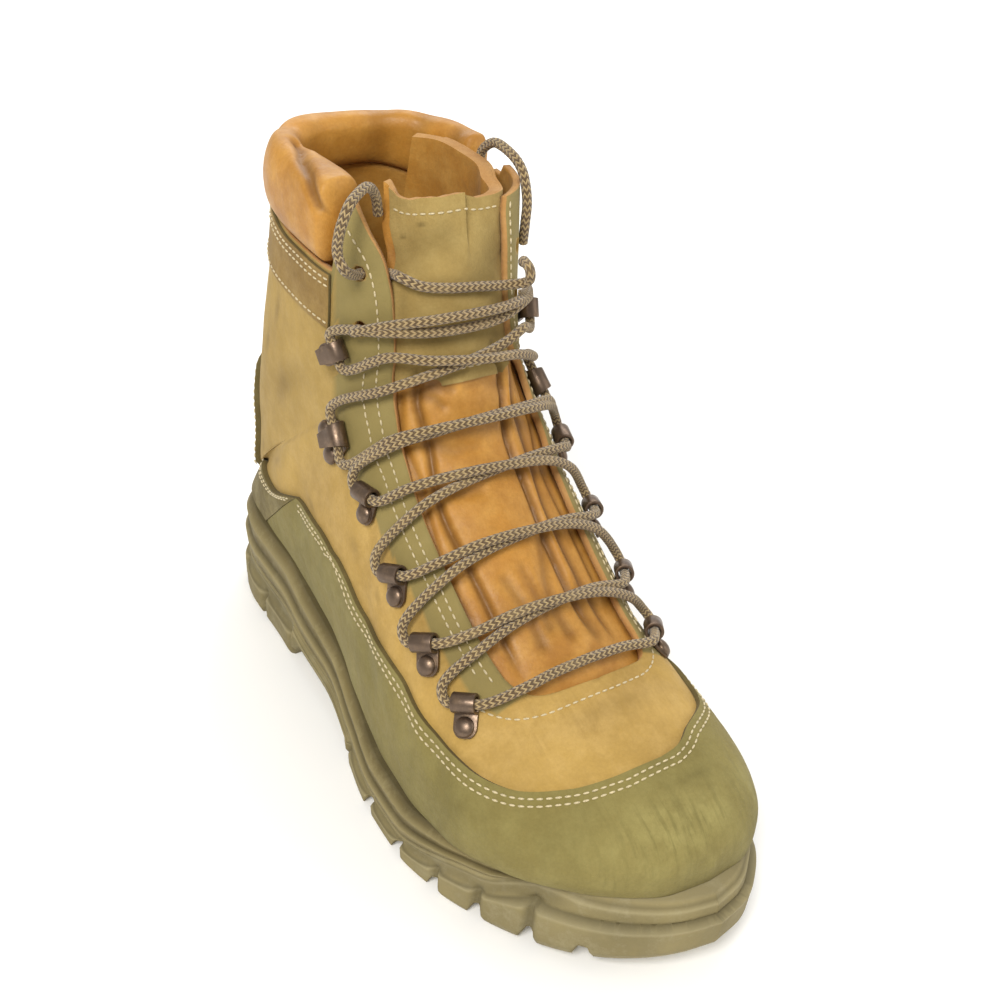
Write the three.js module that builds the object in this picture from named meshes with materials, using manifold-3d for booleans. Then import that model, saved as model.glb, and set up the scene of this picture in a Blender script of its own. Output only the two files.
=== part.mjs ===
// A right-foot mountain combat boot, standing empty on its sole, in millimetres.
// +Z is up, the toe points along -Y, and +X is the wearer's left, the boot's inner (medial) side.
// The upper is a skin lofted through sections that fan from the toe, over the instep, up the shaft.
// Every leather piece is a stretch of that skin between two lifts, so the pieces follow each other.
import * as THREE from "three";
import { mergeVertices } from "three/addons/utils/BufferGeometryUtils.js";
import Module from "manifold-3d";

const wasm = await Module();
wasm.setup();

// Driving sizes of the last and the sole
const SOLE_LENGTH = 300;
const BALL_WIDTH = 117;
const HEEL_WIDTH = 89;
const SHAFT_WIDTH = 78;
const INSTEP_HEIGHT = 131;
const SHAFT_RISE = 84;
const HEEL_STACK = 46;
const BALL_STACK = 25;
const TOE_STACK = 35;
const HEEL_BLOCK_LENGTH = 84;
const LUG_DEPTH = 5;
const LUG_GAP = 4.5;

// Thicknesses and clearances of the pieces
const CLEARANCE = 0.3;
const SKIN_GAP = 0.7;
const TONGUE_GAP = 1.1;
const WALL = 2.6;
const RAND_THICKNESS = 1.8;
const BAND_THICKNESS = 1.5;
const TONGUE_THICKNESS = 4.5;
const INSOLE_THICKNESS = 4;
const INSOLE_GAP = 3.8;
const COLLAR_PAD = 12;
const COLLAR_TOP_RISE = 4.5;
const THROAT_HALF_WIDTH = 30;
const TONGUE_TUCK = 9;

// Hardware sizes
const RIVET_RADIUS = 3.9;
const RIVET_DOME = 2.4;
const HOOK_WIDTH = 8.6;
const HOOK_REACH = 12;
const HOOK_PLATE = 1.2;
const TAB_HOLE_RADIUS = 2.8;
const LACE_DIAMETER = 3.7;
const LACE_PLAY = 0.6;

// A monotone cubic through (x, y), so that a table's rows are joined without overshoot.
function curve(x, y) {
  const last = x.length - 1;
  const slope = x.slice(1).map((end, i) => (y[i + 1] - y[i]) / (end - x[i]));
  const tangent = x.map((_, i) => {
    if (i === 0) return slope[0];
    if (i === last) return slope[last - 1];
    const [before, after] = [slope[i - 1], slope[i]];
    if (before * after <= 0) return 0;
    const [a, b] = [x[i] - x[i - 1], x[i + 1] - x[i]];
    return (3 * (a + b)) / ((2 * b + a) / before + (b + 2 * a) / after);
  });
  return (at) => {
    const value = Math.min(Math.max(at, x[0]), x[last]);
    let i = 0;
    while (i < last - 1 && value > x[i + 1]) i++;
    const width = x[i + 1] - x[i];
    const t = (value - x[i]) / width;
    const [t2, t3] = [t * t, t * t * t];
    return (
      y[i] * (2 * t3 - 3 * t2 + 1) +
      tangent[i] * width * (t3 - 2 * t2 + t) +
      y[i + 1] * (3 * t2 - 2 * t3) +
      tangent[i + 1] * width * (t3 - t2)
    );
  };
}

// A table's column as a curve over its first column.
const line = (rows, column, scale = 1, keyScale = 1) =>
  curve(rows.map((row) => row[0] * keyScale), rows.map((row) => row[column] * scale));

const mix = (a, b, share) => a + (b - a) * share;
const steps = (count) => Array.from({ length: count + 1 }, (_, i) => i / count);

// A point given by its distance from the heel's back, to the outer (lateral) side, and above the floor.
const place = (along, lateral, up) => new THREE.Vector3(-lateral, SOLE_LENGTH / 2 - along, up);

// The sole seen from above: share of SOLE_LENGTH, then the outer and inner edge as shares of the width
// at that end of the foot, HEEL_WIDTH behind the waist and BALL_WIDTH in front of it.
const HEEL_OUTLINE = [
  [0.0, 0.011, -0.011],
  [0.008, 0.165, -0.14],
  [0.03, 0.33, -0.29],
  [0.083, 0.46, -0.41],
  [0.15, 0.505, -0.45],
  [0.23, 0.51, -0.455],
  [0.31, 0.53, -0.435],
];
const FORE_OUTLINE = [
  [0.4, 0.41, -0.315],
  [0.5, 0.455, -0.355],
  [0.593, 0.5, -0.425],
  [0.673, 0.508, -0.48],
  [0.743, 0.479, -0.5],
  [0.803, 0.423, -0.496],
  [0.867, 0.346, -0.462],
  [0.923, 0.25, -0.405],
  [0.967, 0.125, -0.3],
  [0.99, 0.01, -0.205],
  [1.0, -0.094, -0.094],
];
const outlineRows = [
  ...HEEL_OUTLINE.map(([along, outer, inner]) => [along, outer * HEEL_WIDTH, inner * HEEL_WIDTH]),
  ...FORE_OUTLINE.map(([along, outer, inner]) => [along, outer * BALL_WIDTH, inner * BALL_WIDTH]),
];
const outerEdge = line(outlineRows, 1, 1, SOLE_LENGTH);
const innerEdge = line(outlineRows, 2, 1, SOLE_LENGTH);

// Heights along the sole: where the upper sits, as a share of the stack named in the last column.
const SOLE_TOP = [
  [0.0, 1.0, HEEL_STACK],
  [0.25, 0.99, HEEL_STACK],
  [0.34, 0.87, HEEL_STACK],
  [0.42, 0.73, HEEL_STACK],
  [0.51, 1.14, BALL_STACK],
  [0.62, 0.96, BALL_STACK],
  [0.7, 1.0, BALL_STACK],
  [0.78, 0.84, TOE_STACK],
  [0.85, 0.95, TOE_STACK],
  [1.0, 1.03, TOE_STACK],
];
const soleCurve = curve(
  SOLE_TOP.map(([along]) => along * SOLE_LENGTH),
  SOLE_TOP.map(([, share, stack]) => share * stack),
);

// The last's sections, from the toe back and then up. Each runs from the ridge (the top or front line) to
// the base (the sole's edge, then the back seam). Columns, with lengths as shares of named sizes:
// ridge along (SOLE_LENGTH), ridge height (INSTEP_HEIGHT), its extra rise (SHAFT_RISE),
// base along (SOLE_LENGTH), base rise (of the shaft's back), then in shares of the width named below:
// crown offset, outer and inner widest point, outer and inner foot, where it is widest, squareness.
const TOE_SECTIONS = [
  [0.96, 0.328, 0, 0.958, 0, -0.103, -0.103, -0.103, -0.103, -0.103, 0.6, 2.3],
  [0.952, 0.385, 0, 0.953, 0, -0.103, 0.026, -0.231, 0.017, -0.222, 0.72, 2.3],
  [0.93, 0.435, 0, 0.933, 0, -0.103, 0.137, -0.329, 0.124, -0.316, 0.78, 2.3],
  [0.89, 0.477, 0, 0.89, 0, -0.094, 0.274, -0.406, 0.261, -0.393, 0.8, 2.3],
  [0.827, 0.525, 0, 0.827, 0, -0.077, 0.389, -0.449, 0.38, -0.44, 0.8, 2.3],
  [0.753, 0.595, 0, 0.753, 0, -0.051, 0.444, -0.457, 0.436, -0.449, 0.78, 2.3],
  [0.683, 0.69, 0, 0.673, 0, -0.026, 0.449, -0.44, 0.444, -0.423, 0.76, 2.35],
  [0.62, 0.8, 0, 0.587, 0, -0.009, 0.433, -0.425, 0.427, -0.376, 0.72, 2.6],
  [0.563, 0.9, 0, 0.483, 0, -0.004, 0.407, -0.41, 0.385, -0.316, 0.66, 2.8],
];
const INSTEP_SECTIONS = [
  [0.525, 0.97, 0, 0.373, 0, -0.013, 0.57, -0.6, 0.444, -0.354, 0.6, 2.9],
  [0.5, 1, 0.04, 0.26, 0, -0.026, 0.55, -0.61, 0.433, -0.376, 0.55, 2.9],
  [0.482, 1, 0.145, 0.15, 0, -0.032, 0.525, -0.6, 0.416, -0.388, 0.52, 2.8],
  [0.47, 1, 0.245, 0.067, 0, -0.038, 0.52, -0.58, 0.365, -0.325, 0.5, 2.7],
  [0.462, 1, 0.335, 0.025, 0, -0.038, 0.51, -0.565, 0.215, -0.185, 0.5, 2.6],
];
const SHAFT_SECTIONS = [
  [0.457, 1, 0.368, 0.015, 0, -0.032, 0.495, -0.56, 0, 0, 0.5, 2.6],
  [0.453, 1, 0.418, 0.014, 0.08, -0.026, 0.495, -0.555, 0, 0, 0.5, 2.6],
  [0.447, 1, 0.495, 0.014, 0.182, -0.032, 0.49, -0.55, 0, 0, 0.5, 2.6],
  [0.44, 1, 0.615, 0.022, 0.307, -0.038, 0.49, -0.545, -0.013, -0.013, 0.5, 2.6],
  [0.433, 1, 0.736, 0.037, 0.455, -0.045, 0.485, -0.54, -0.026, -0.026, 0.5, 2.6],
  [0.425, 1, 0.846, 0.057, 0.619, -0.051, 0.48, -0.54, -0.038, -0.038, 0.5, 2.6],
  [0.417, 1, 0.934, 0.08, 0.795, -0.051, 0.475, -0.54, -0.045, -0.045, 0.5, 2.6],
  [0.41, 1, 1, 0.1, 1, -0.051, 0.47, -0.54, -0.045, -0.045, 0.5, 2.6],
];
const SEAM_START = TOE_SECTIONS.length + INSTEP_SECTIONS.length;
const TOP = SEAM_START + SHAFT_SECTIONS.length - 1;
const shaftTop = INSTEP_HEIGHT + SHAFT_RISE;

// The sole's top is straight between the sections, as the upper's lower edge is.
const soleKnots = [
  0,
  ...[...TOE_SECTIONS, ...INSTEP_SECTIONS].map((row) => row[3] * SOLE_LENGTH).reverse(),
  SOLE_LENGTH,
];
function soleTop(along) {
  const next = soleKnots.findIndex((knot, i) => i > 0 && along <= knot);
  const [a, b] = next < 0 ? soleKnots.slice(-2) : [soleKnots[next - 1], soleKnots[next]];
  return mix(soleCurve(a), soleCurve(b), (along - a) / (b - a));
}

// Where midsole and outsole meet, as a share of the sole's top height there.
const SOLE_JOINT = [
  [0.0, 0.48],
  [0.27, 0.46],
  [0.33, 0.44],
  [0.42, 0.47],
  [0.5, 0.38],
  [0.59, 0.34],
  [0.65, 0.35],
  [0.7, 0.48],
  [0.77, 0.72],
  [0.81, 0.76],
  [0.845, 0.93],
  [0.862, 1.0],
  [1.0, 1.0],
];
const jointShare = line(SOLE_JOINT, 1, 1, SOLE_LENGTH);
const soleJoint = (along) => soleTop(along) * jointShare(along);
const MIDSOLE_TIP = 0.855 * SOLE_LENGTH;

// The walking surface: flat under heel block and ball, arched between, sprung up at the toe.
const HEEL_BEVEL = 2.5;
const ARCH_CLEARANCE = 14;
const TOE_SPRING = 15;
const ARCH_FRONT = 0.5 * SOLE_LENGTH;
const BREAST_SLOPE = 2.5;
const SPRING_START = 0.74 * SOLE_LENGTH;
function ground(along) {
  if (along < HEEL_BLOCK_LENGTH) {
    const bevel = Math.max(0, 1 - along / (0.04 * SOLE_LENGTH));
    return HEEL_BEVEL * bevel * bevel;
  }
  if (along < ARCH_FRONT) {
    const rise = Math.min((along - HEEL_BLOCK_LENGTH) / BREAST_SLOPE, 1);
    const fall = Math.min((ARCH_FRONT - along) / BREAST_SLOPE, 1);
    const slant = mix(1, 0.62, (along - HEEL_BLOCK_LENGTH) / (ARCH_FRONT - HEEL_BLOCK_LENGTH));
    return ARCH_CLEARANCE * slant * Math.min(rise, fall);
  }
  const spring = Math.max(0, (along - SPRING_START) / (SOLE_LENGTH - SPRING_START));
  return TOE_SPRING * spring * spring;
}

// One row of the tables above in millimetres.
function section(row, width, footWidth) {
  const [ridgeAlong, ridge, rise, baseAlong, baseRise, crown, outer, inner, outerFoot, innerFoot] = row;
  return {
    ridgeAlong: ridgeAlong * SOLE_LENGTH,
    ridgeUp: ridge * INSTEP_HEIGHT + rise * SHAFT_RISE,
    baseAlong: baseAlong * SOLE_LENGTH,
    baseRise,
    crown: crown * width,
    outer: outer * width,
    inner: inner * width,
    outerFoot: outerFoot * footWidth,
    innerFoot: innerFoot * footWidth,
    widest: row[10],
    squareness: row[11],
  };
}
const sections = [
  ...TOE_SECTIONS.map((row) => section(row, BALL_WIDTH, BALL_WIDTH)),
  ...INSTEP_SECTIONS.map((row) => section(row, SHAFT_WIDTH, HEEL_WIDTH)),
  ...SHAFT_SECTIONS.map((row) => section(row, SHAFT_WIDTH, SHAFT_WIDTH)),
];
const lastCurves = Object.fromEntries(
  Object.keys(sections[0]).map((name) => [name, curve(sections.map((_, i) => i), sections.map((s) => s[name]))]),
);
const BACK_SQUARENESS = 2.6;

// A point of the upper's outer face. station counts the sections from the toe; across runs from 0 on the
// ridge to 1 at the outer base, or -1 at the inner base.
function skinPoint(station, across) {
  const at = (name) => lastCurves[name](station);
  const [wide, foot] = across >= 0 ? [at("outer"), at("outerFoot")] : [at("inner"), at("innerFoot")];
  const turn = Math.abs(across) * Math.PI;
  let depth;
  let side;
  if (turn < Math.PI / 2) {
    const power = 2 / at("squareness");
    depth = at("widest") * (1 - Math.cos(turn) ** power);
    side = mix(at("crown"), wide, Math.sin(turn) ** power);
  } else {
    const round = Math.min(Math.sin(turn - Math.PI / 2), 1);
    const closed = THREE.MathUtils.clamp(station - SEAM_START + 1, 0, 1);
    const drop = round ** mix(1, 2 / BACK_SQUARENESS, closed);
    const open = 1 - drop * drop;
    const shut = Math.max(1 - drop ** BACK_SQUARENESS, 0) ** (1 / BACK_SQUARENESS);
    depth = mix(at("widest"), 1, drop);
    side = mix(foot, wide, mix(open, shut, closed));
  }
  const baseAlong = at("baseAlong");
  const baseUp = mix(soleTop(baseAlong) + CLEARANCE, shaftTop, Math.max(at("baseRise"), 0));
  return place(mix(at("ridgeAlong"), baseAlong, depth), side, mix(at("ridgeUp"), baseUp, depth));
}

// The skin's outward direction, found from its neighbours. Where both sides meet it is their mean.
const NEAR = 0.01;
function sideNormal(station, across, side) {
  const inward = Math.abs(across) > 1 - NEAR ? 1 - NEAR : Math.max(Math.abs(across), NEAR);
  const around = Math.min(Math.max(station, NEAR), TOP - NEAR);
  const alongStep = skinPoint(around + NEAR, side * inward).sub(skinPoint(around - NEAR, side * inward));
  const acrossStep = skinPoint(around, side * (inward + NEAR / 2)).sub(skinPoint(around, side * (inward - NEAR / 2)));
  return alongStep.cross(acrossStep).multiplyScalar(side).normalize();
}
function skinNormal(station, across) {
  const side = Math.sign(across) || 1;
  const normal = sideNormal(station, across, side);
  const shared = station === 0 || across === 0 || (Math.abs(across) === 1 && station >= SEAM_START);
  if (shared) normal.add(sideNormal(station, across, -side)).normalize();
  return normal;
}
function lifted(station, across, lift) {
  const point = skinPoint(station, across).addScaledVector(skinNormal(station, across), lift);
  point.z = Math.max(point.z, soleTop(SOLE_LENGTH / 2 - point.y) + CLEARANCE);
  return point;
}

// across for a distance to the side of the ridge, and the station at which the skin reaches a height.
function acrossAt(station, distance, side) {
  const at = (name) => lastCurves[name](station);
  const half = Math.abs((side > 0 ? at("outer") : at("inner")) - at("crown"));
  const share = Math.min(distance / Math.max(half, 1), 0.95);
  return (side * Math.asin(share ** (at("squareness") / 2))) / Math.PI;
}
function stationAt(across, height) {
  let [low, high] = [SEAM_START - 5, TOP];
  for (let i = 0; i < 24; i++) {
    const middle = (low + high) / 2;
    if (skinPoint(middle, across).z < height) low = middle;
    else high = middle;
  }
  return high;
}

// Triangles given as corner points become one solid, facing out.
function solid(triangles) {
  const positions = new Float32Array(triangles.flatMap((t) => t.flatMap((p) => [p.x, p.y, p.z])));
  const geometry = new THREE.BufferGeometry().setAttribute("position", new THREE.BufferAttribute(positions, 3));
  return fromGeometry(geometry);
}
function fromGeometry(geometry) {
  const bare = geometry.clone();
  bare.deleteAttribute("normal");
  bare.deleteAttribute("uv");
  const merged = mergeVertices(bare, 1e-4);
  const triVerts = [];
  const index = merged.index.array;
  for (let i = 0; i < index.length; i += 3) {
    const [a, b, c] = [index[i], index[i + 1], index[i + 2]];
    if (a !== b && b !== c && c !== a) triVerts.push(a, b, c);
  }
  const build = (verts) =>
    new wasm.Manifold(
      new wasm.Mesh({
        numProp: 3,
        vertProperties: merged.attributes.position.array,
        triVerts: new Uint32Array(verts),
      }),
    );
  const made = build(triVerts);
  if (made.volume() >= 0) return made;
  return build(triVerts.map((_, i) => triVerts[i - (i % 3) + [0, 2, 1][i % 3]]));
}
function toMesh(shape, name, material) {
  const mesh = shape.getMesh();
  const geometry = new THREE.BufferGeometry();
  const positions = new Float32Array((mesh.vertProperties.length / mesh.numProp) * 3);
  for (let i = 0; i < positions.length / 3; i++)
    for (let k = 0; k < 3; k++) positions[i * 3 + k] = mesh.vertProperties[i * mesh.numProp + k];
  geometry.setAttribute("position", new THREE.BufferAttribute(positions, 3));
  geometry.setIndex([...mesh.triVerts]);
  geometry.computeVertexNormals();
  const made = new THREE.Mesh(geometry, material);
  made.name = name;
  return made;
}
const quad = (a, b, c, d) => [
  [a, b, c],
  [a, c, d],
];

// A sheet given by two matching layers of points becomes a closed wall: both faces, and a rim round
// every free edge. face(i, j) says whether the cell after row i and column j is there.
function thicken(top, bottom, face = () => true) {
  const key = (p) => `${p.x.toFixed(3)},${p.y.toFixed(3)},${p.z.toFixed(3)}`;
  const same = (a, b) => key(a) === key(b);
  const cells = [];
  const edges = new Map();
  for (let i = 0; i < top.length - 1; i++)
    for (let j = 0; j < top[i].length - 1; j++) {
      if (!face(i, j)) continue;
      const corners = [[i, j], [i + 1, j], [i + 1, j + 1], [i, j + 1]];
      cells.push(...quad(...corners.map(([r, c]) => top[r][c])));
      cells.push(...quad(...corners.map(([r, c]) => bottom[r][c]).reverse()));
      corners.forEach((from, k) => {
        const to = corners[(k + 1) % 4];
        const [a, b] = [top[from[0]][from[1]], top[to[0]][to[1]]];
        if (same(a, b)) return;
        const back = `${key(b)}|${key(a)}`;
        if (edges.has(back)) edges.delete(back);
        else edges.set(`${key(a)}|${key(b)}`, [from, to]);
      });
    }
  for (const [from, to] of edges.values()) {
    const [a, b] = [top[from[0]][from[1]], top[to[0]][to[1]]];
    cells.push(...quad(b, a, bottom[from[0]][from[1]], bottom[to[0]][to[1]]));
  }
  return solid(cells);
}

const TAB_START = SEAM_START + 3;

// The throat's edges: shut on the vamp, then opening to its full width. Columns: station, then how far
// the outer and the inner edge lie from the ridge, as shares of THROAT_HALF_WIDTH.
const THROAT_STATION = 5.05;
const THROAT_SHAPE = [
  [THROAT_STATION, 0, 0],
  [5.12, 0.62, 0.62],
  [5.3, 0.86, 0.86],
  [5.7, 0.98, 0.98],
  [6.5, 1, 1],
  [10, 1, 1],
  [12, 0.98, 0.92],
  [14, 0.92, 0.76],
  [16, 0.88, 0.64],
  [17.5, 0.9, 0.58],
  [19, 0.98, 0.56],
  [20, 1.08, 0.56],
  [TOP, 1.17, 0.6],
];
const throatShares = { outer: line(THROAT_SHAPE, 1), inner: line(THROAT_SHAPE, 2) };
function throatEdge(station, side) {
  if (station <= THROAT_STATION) return 0;
  const share = side > 0 ? throatShares.outer(station) : throatShares.inner(station);
  return Math.abs(acrossAt(station, share * THROAT_HALF_WIDTH, side));
}

// The grid that every leather piece shares, so that their facets lie parallel. Its columns run from the
// throat's edge to the back edge of the facing tabs, and from there to the base.
const CAP_STATION = 3.55;
const OUTER_TAB = 0.355;
const INNER_TAB = 0.47;
const TAB_STEP = 0.02;
const BAND_ROW = TAB_START + 2.5;
const TOE_TAB = 0.4;
const tabEdge = (side, station = TOP) =>
  mix(TOE_TAB, side > 0 ? OUTER_TAB : INNER_TAB, THREE.MathUtils.smoothstep(station, 1, THROAT_STATION));
const TAB_COLUMNS = 3;
const SIDE_COLUMNS = 6;
const COLUMNS = TAB_COLUMNS + SIDE_COLUMNS + 2;
const stations = [
  ...[0, 1, 2, 3, CAP_STATION, 3.7, 4, 4.5, 5],
  ...THROAT_SHAPE.slice(0, 5).map(([station]) => station),
  ...[7, 8, 9, 10, 11, 12, 13, 14, 15, TAB_START, TAB_START + 1, BAND_ROW, TOP],
];
function columnAcross(station, side, column) {
  const tab = tabEdge(side, station);
  if (column <= TAB_COLUMNS) return mix(throatEdge(station, side), tab, column / TAB_COLUMNS);
  return mix(tab + TAB_STEP, 1, (column - TAB_COLUMNS - 1) / SIDE_COLUMNS);
}

// A stretch of the skin on both sides of the boot, between two lifts. from and to give its edges across
// for a station and a side; warp moves a row's station by its place across.
function panel({ rows, from, to = () => 1, outer, inner, warp = (station) => station }) {
  const columns = [...Array(COLUMNS).keys()];
  const across = (station, side, column) =>
    side * THREE.MathUtils.clamp(columnAcross(station, side, column), from(station, side), to(station, side));
  const layer = (lift) =>
    rows.map((station) =>
      [
        ...columns.map((column) => across(station, 1, COLUMNS - 1 - column)),
        ...columns.map((column) => across(station, -1, column)),
      ].map((place) => lifted(warp(station, place), place, lift)),
    );
  return thicken(layer(outer), layer(inner), (i, j) => j !== COLUMNS - 1);
}
const between = (first, last) => stations.filter((station) => station > first && station < last);

// The lace holes of the facing tabs. Columns: station, then across for the outer and the inner tab.
const TAB_HOLES = [
  [17.05, 0.285, -0.19],
  [18.7, 0.29, -0.2],
];

// The collar seam: the quarters end there behind the facing tabs, which run on up to the top. Under it
// the band's lower edge has a row of its own.
const COLLAR_SEAM_SHARE = 0.92;
const COLLAR_SEAM_DROP = 11;
const BAND_WIDTH = 22;
const TAB_CORNER = 5;
const seamHeight = (across) =>
  COLLAR_SEAM_SHARE * shaftTop - COLLAR_SEAM_DROP * (1 - THREE.MathUtils.smoothstep(Math.abs(across), 0.3, 1));
function upperWarp(station, across) {
  const edge = tabEdge(Math.sign(across));
  if (station <= TAB_START || Math.abs(across) < 0.9 * edge) return station;
  if (Math.abs(across) <= edge) {
    const corner = stationAt(across, shaftTop - TAB_CORNER);
    return mix(TAB_START, corner, (station - TAB_START) / (TOP - TAB_START));
  }
  const low = stationAt(across, seamHeight(across) - BAND_WIDTH);
  if (station <= BAND_ROW) return mix(TAB_START, low, (station - TAB_START) / (BAND_ROW - TAB_START));
  return stationAt(across, seamHeight(across));
}
function makeUpper() {
  let wall = panel({ rows: stations, from: throatEdge, outer: 0, inner: -WALL, warp: upperWarp });
  for (const [station, outerAcross, innerAcross] of TAB_HOLES)
    for (const across of [outerAcross, innerAcross]) {
      const drill = new THREE.CylinderGeometry(TAB_HOLE_RADIUS, TAB_HOLE_RADIUS, 4 * WALL, 10).rotateX(Math.PI / 2);
      drill.applyMatrix4(seat(station, across, 0, -WALL / 2));
      wall = wall.subtract(fromGeometry(drill));
    }
  return wall;
}

// The rand: round the toe and along both sides to the heel counter. Columns: station, then how far across
// its top edge lies on the outer and on the inner side.
const RAND_END = 11;
const OVERLAY_SEAM = 0.012;
const RAND_TOP = [
  [CAP_STATION, 0, 0],
  [3.6, 0.1, 0.04],
  [3.9, 0.22, 0.12],
  [4.4, 0.3, 0.26],
  [5.5, 0.36, 0.36],
  [6.9, 0.405, 0.405],
  [8.4, 0.48, 0.48],
  [9.5, 0.5, 0.5],
  [11, 0.58, 0.58],
];
const randTop = { outer: line(RAND_TOP, 1), inner: line(RAND_TOP, 2) };
function makeRand() {
  const last = RAND_END - OVERLAY_SEAM;
  const rows = [0, ...between(0, last), last];
  const top = (station, side) => (side > 0 ? randTop.outer : randTop.inner)(station);
  const from = (station, side) => (station <= CAP_STATION ? 0 : top(station, side));
  return panel({ rows, from, outer: SKIN_GAP + RAND_THICKNESS, inner: SKIN_GAP });
}

// The heel counter: from the rand's end round the heel, rising to a point up the back seam.
const COUNTER_START = RAND_END + OVERLAY_SEAM;
const COUNTER_THICKNESS = 2.3;
const COUNTER_TOP = [
  [COUNTER_START, 0.58],
  [11.6, 0.68],
  [12, 0.69],
  [13, 0.7],
  [14, 0.705],
  [15, 0.71],
  [16, 0.715],
  [17, 0.74],
  [17.4, 0.82],
  [17.6, 0.95],
];
const counterTop = line(COUNTER_TOP, 1);
function makeCounter() {
  const rows = COUNTER_TOP.map(([station]) => station);
  return panel({ rows, from: counterTop, outer: SKIN_GAP + COUNTER_THICKNESS, inner: SKIN_GAP });
}

// The band: a strip round the shaft under the collar, from tab to tab.
function makeBand() {
  const height = (share, across) => seamHeight(across) - mix(BAND_WIDTH, 1, share);
  return panel({
    rows: [0, 1],
    from: (_, side) => tabEdge(side) + TAB_STEP,
    outer: SKIN_GAP + BAND_THICKNESS,
    inner: SKIN_GAP,
    warp: (share, across) => stationAt(across, height(share, across)),
  });
}

// The collar: a padded roll standing on the quarters' top edge, from tab round the back to tab.
const COLLAR_OUT = 4;
const COLLAR_RING = 8;
const COLLAR_PARTS = 10;
const COLLAR_START = 0.035;
function makeCollar() {
  const square = (value) => Math.sign(value) * Math.abs(value) ** 0.7;
  const ringPoint = (across, turn) => {
    const seam = seamHeight(across) + CLEARANCE;
    const height = seam + ((shaftTop + COLLAR_TOP_RISE - seam) / 2) * (1 + square(Math.sin(turn)));
    const lift = COLLAR_OUT - COLLAR_PAD / 2 + (COLLAR_PAD / 2) * square(Math.cos(turn));
    const point = lifted(stationAt(across, Math.min(height, shaftTop)), across, lift);
    point.z = height;
    return point;
  };
  const places = (side) => steps(COLLAR_PARTS).map((share) => side * mix(tabEdge(side) + COLLAR_START, 1, share));
  const around = [...places(1), ...places(-1).slice(0, -1).reverse()];
  const turns = steps(COLLAR_RING).slice(0, -1);
  return tube(around.map((across) => turns.map((share) => ringPoint(across, share * 2 * Math.PI))));
}

// Rings of points become one closed solid, capped at both ends.
function tube(rings) {
  const count = rings[0].length;
  const triangles = [];
  for (let i = 0; i < rings.length - 1; i++)
    for (let j = 0; j < count; j++) {
      const next = (j + 1) % count;
      triangles.push(...quad(rings[i][j], rings[i + 1][j], rings[i + 1][next], rings[i][next]));
    }
  const [first, last] = [rings[0], rings[rings.length - 1]];
  for (let j = 1; j < count - 1; j++) {
    triangles.push([first[0], first[j], first[j + 1]]);
    triangles.push([last[0], last[j + 1], last[j]]);
  }
  return solid(triangles);
}

// The tongue: a padded leaf under the facings, from inside the vamp to just above the tabs. Its tuck is how
// far it runs on under each facing.
const TONGUE_START = 5;
const TONGUE_FOOT = 5.7;
const FOOT_DROP = 0.8;
const TONGUE_REACH = THROAT_HALF_WIDTH + 4;
const TONGUE_RISE = 4;
const TONGUE_CROWN = 2.2;
const TONGUE_COLUMNS = 5;
const TONGUE_LEAN = 13;
const WING_START = TAB_START + 1;
const WING_REACH = 0.72;
const WING_DEPTH = 6.5;
function makeTongue() {
  const rows = stations.filter((station) => station >= TONGUE_START);
  const smooth = THREE.MathUtils.smoothstep;
  const tuck = (station) => mix(TONGUE_TUCK, 2, smooth(station, TAB_START, TAB_START + 2));
  const wing = (station) => smooth(station, WING_START, WING_START + 2);
  const across = (station, share) => {
    const side = Math.sign(share) || 1;
    const shares = side > 0 ? throatShares.outer : throatShares.inner;
    const edge = shares(Math.max(station, TONGUE_FOOT)) * THROAT_HALF_WIDTH;
    const half = Math.min(edge + tuck(station), TONGUE_REACH);
    const leaf = acrossAt(station, Math.abs(share) * half, side);
    return side > 0 ? leaf : mix(leaf, -WING_REACH * share * share, wing(station));
  };
  const lift = (station, share, spot) => {
    const free = smooth(station, THROAT_STATION, TONGUE_FOOT);
    const crown = mix(-FOOT_DROP, TONGUE_CROWN * Math.max(0, 1 - (share * 1.5) ** 2), free);
    if (share > 0) return crown - TONGUE_LEAN * smooth(share, 0.3, 1) * smooth(station, TAB_START, TOP);
    return crown * (1 - wing(station)) - WING_DEPTH * smooth(-spot, 0.1, 0.3) * wing(station);
  };
  const columns = steps(2 * TONGUE_COLUMNS).map((share) => 1 - 2 * share);
  const layer = (under) =>
    rows.map((station) =>
      columns.map((share) => {
        const spot = across(station, share);
        const point = lifted(station, spot, lift(station, share, spot) - WALL - TONGUE_GAP - under);
        if (station === TOP) point.z += share > 0 ? TONGUE_RISE : TONGUE_RISE * (1 + share);
        return point;
      }),
    );
  return thicken(layer(0), layer(TONGUE_THICKNESS));
}

// The sole's edge as a ring of points, drawn in by an inset; each goes heel, outer side, toe, inner side.
const SOLE_STEPS = 22;
const NEAREST_ROWS = 3;
function alongRows(fixed) {
  const even = steps(SOLE_STEPS).map((share) => (SOLE_LENGTH * (1 - Math.cos(Math.PI * share))) / 2);
  const free = even.filter((along) => fixed.every((other) => Math.abs(other - along) > NEAREST_ROWS));
  return [...free, ...fixed].sort((a, b) => a - b);
}
function solePoint(along, side, inset) {
  const edge = side > 0 ? outerEdge : innerEdge;
  const step = 0.4;
  const [a, b] = [Math.max(along - step, 0), Math.min(along + step, SOLE_LENGTH)];
  const direction = new THREE.Vector2(b - a, edge(b) - edge(a)).normalize();
  const out = new THREE.Vector2(-direction.y, direction.x).multiplyScalar(side);
  if (along <= 0) out.set(-1, 0);
  if (along >= SOLE_LENGTH) out.set(1, 0);
  return { along: along - inset * out.x, lateral: edge(along) - inset * out.y };
}

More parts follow.
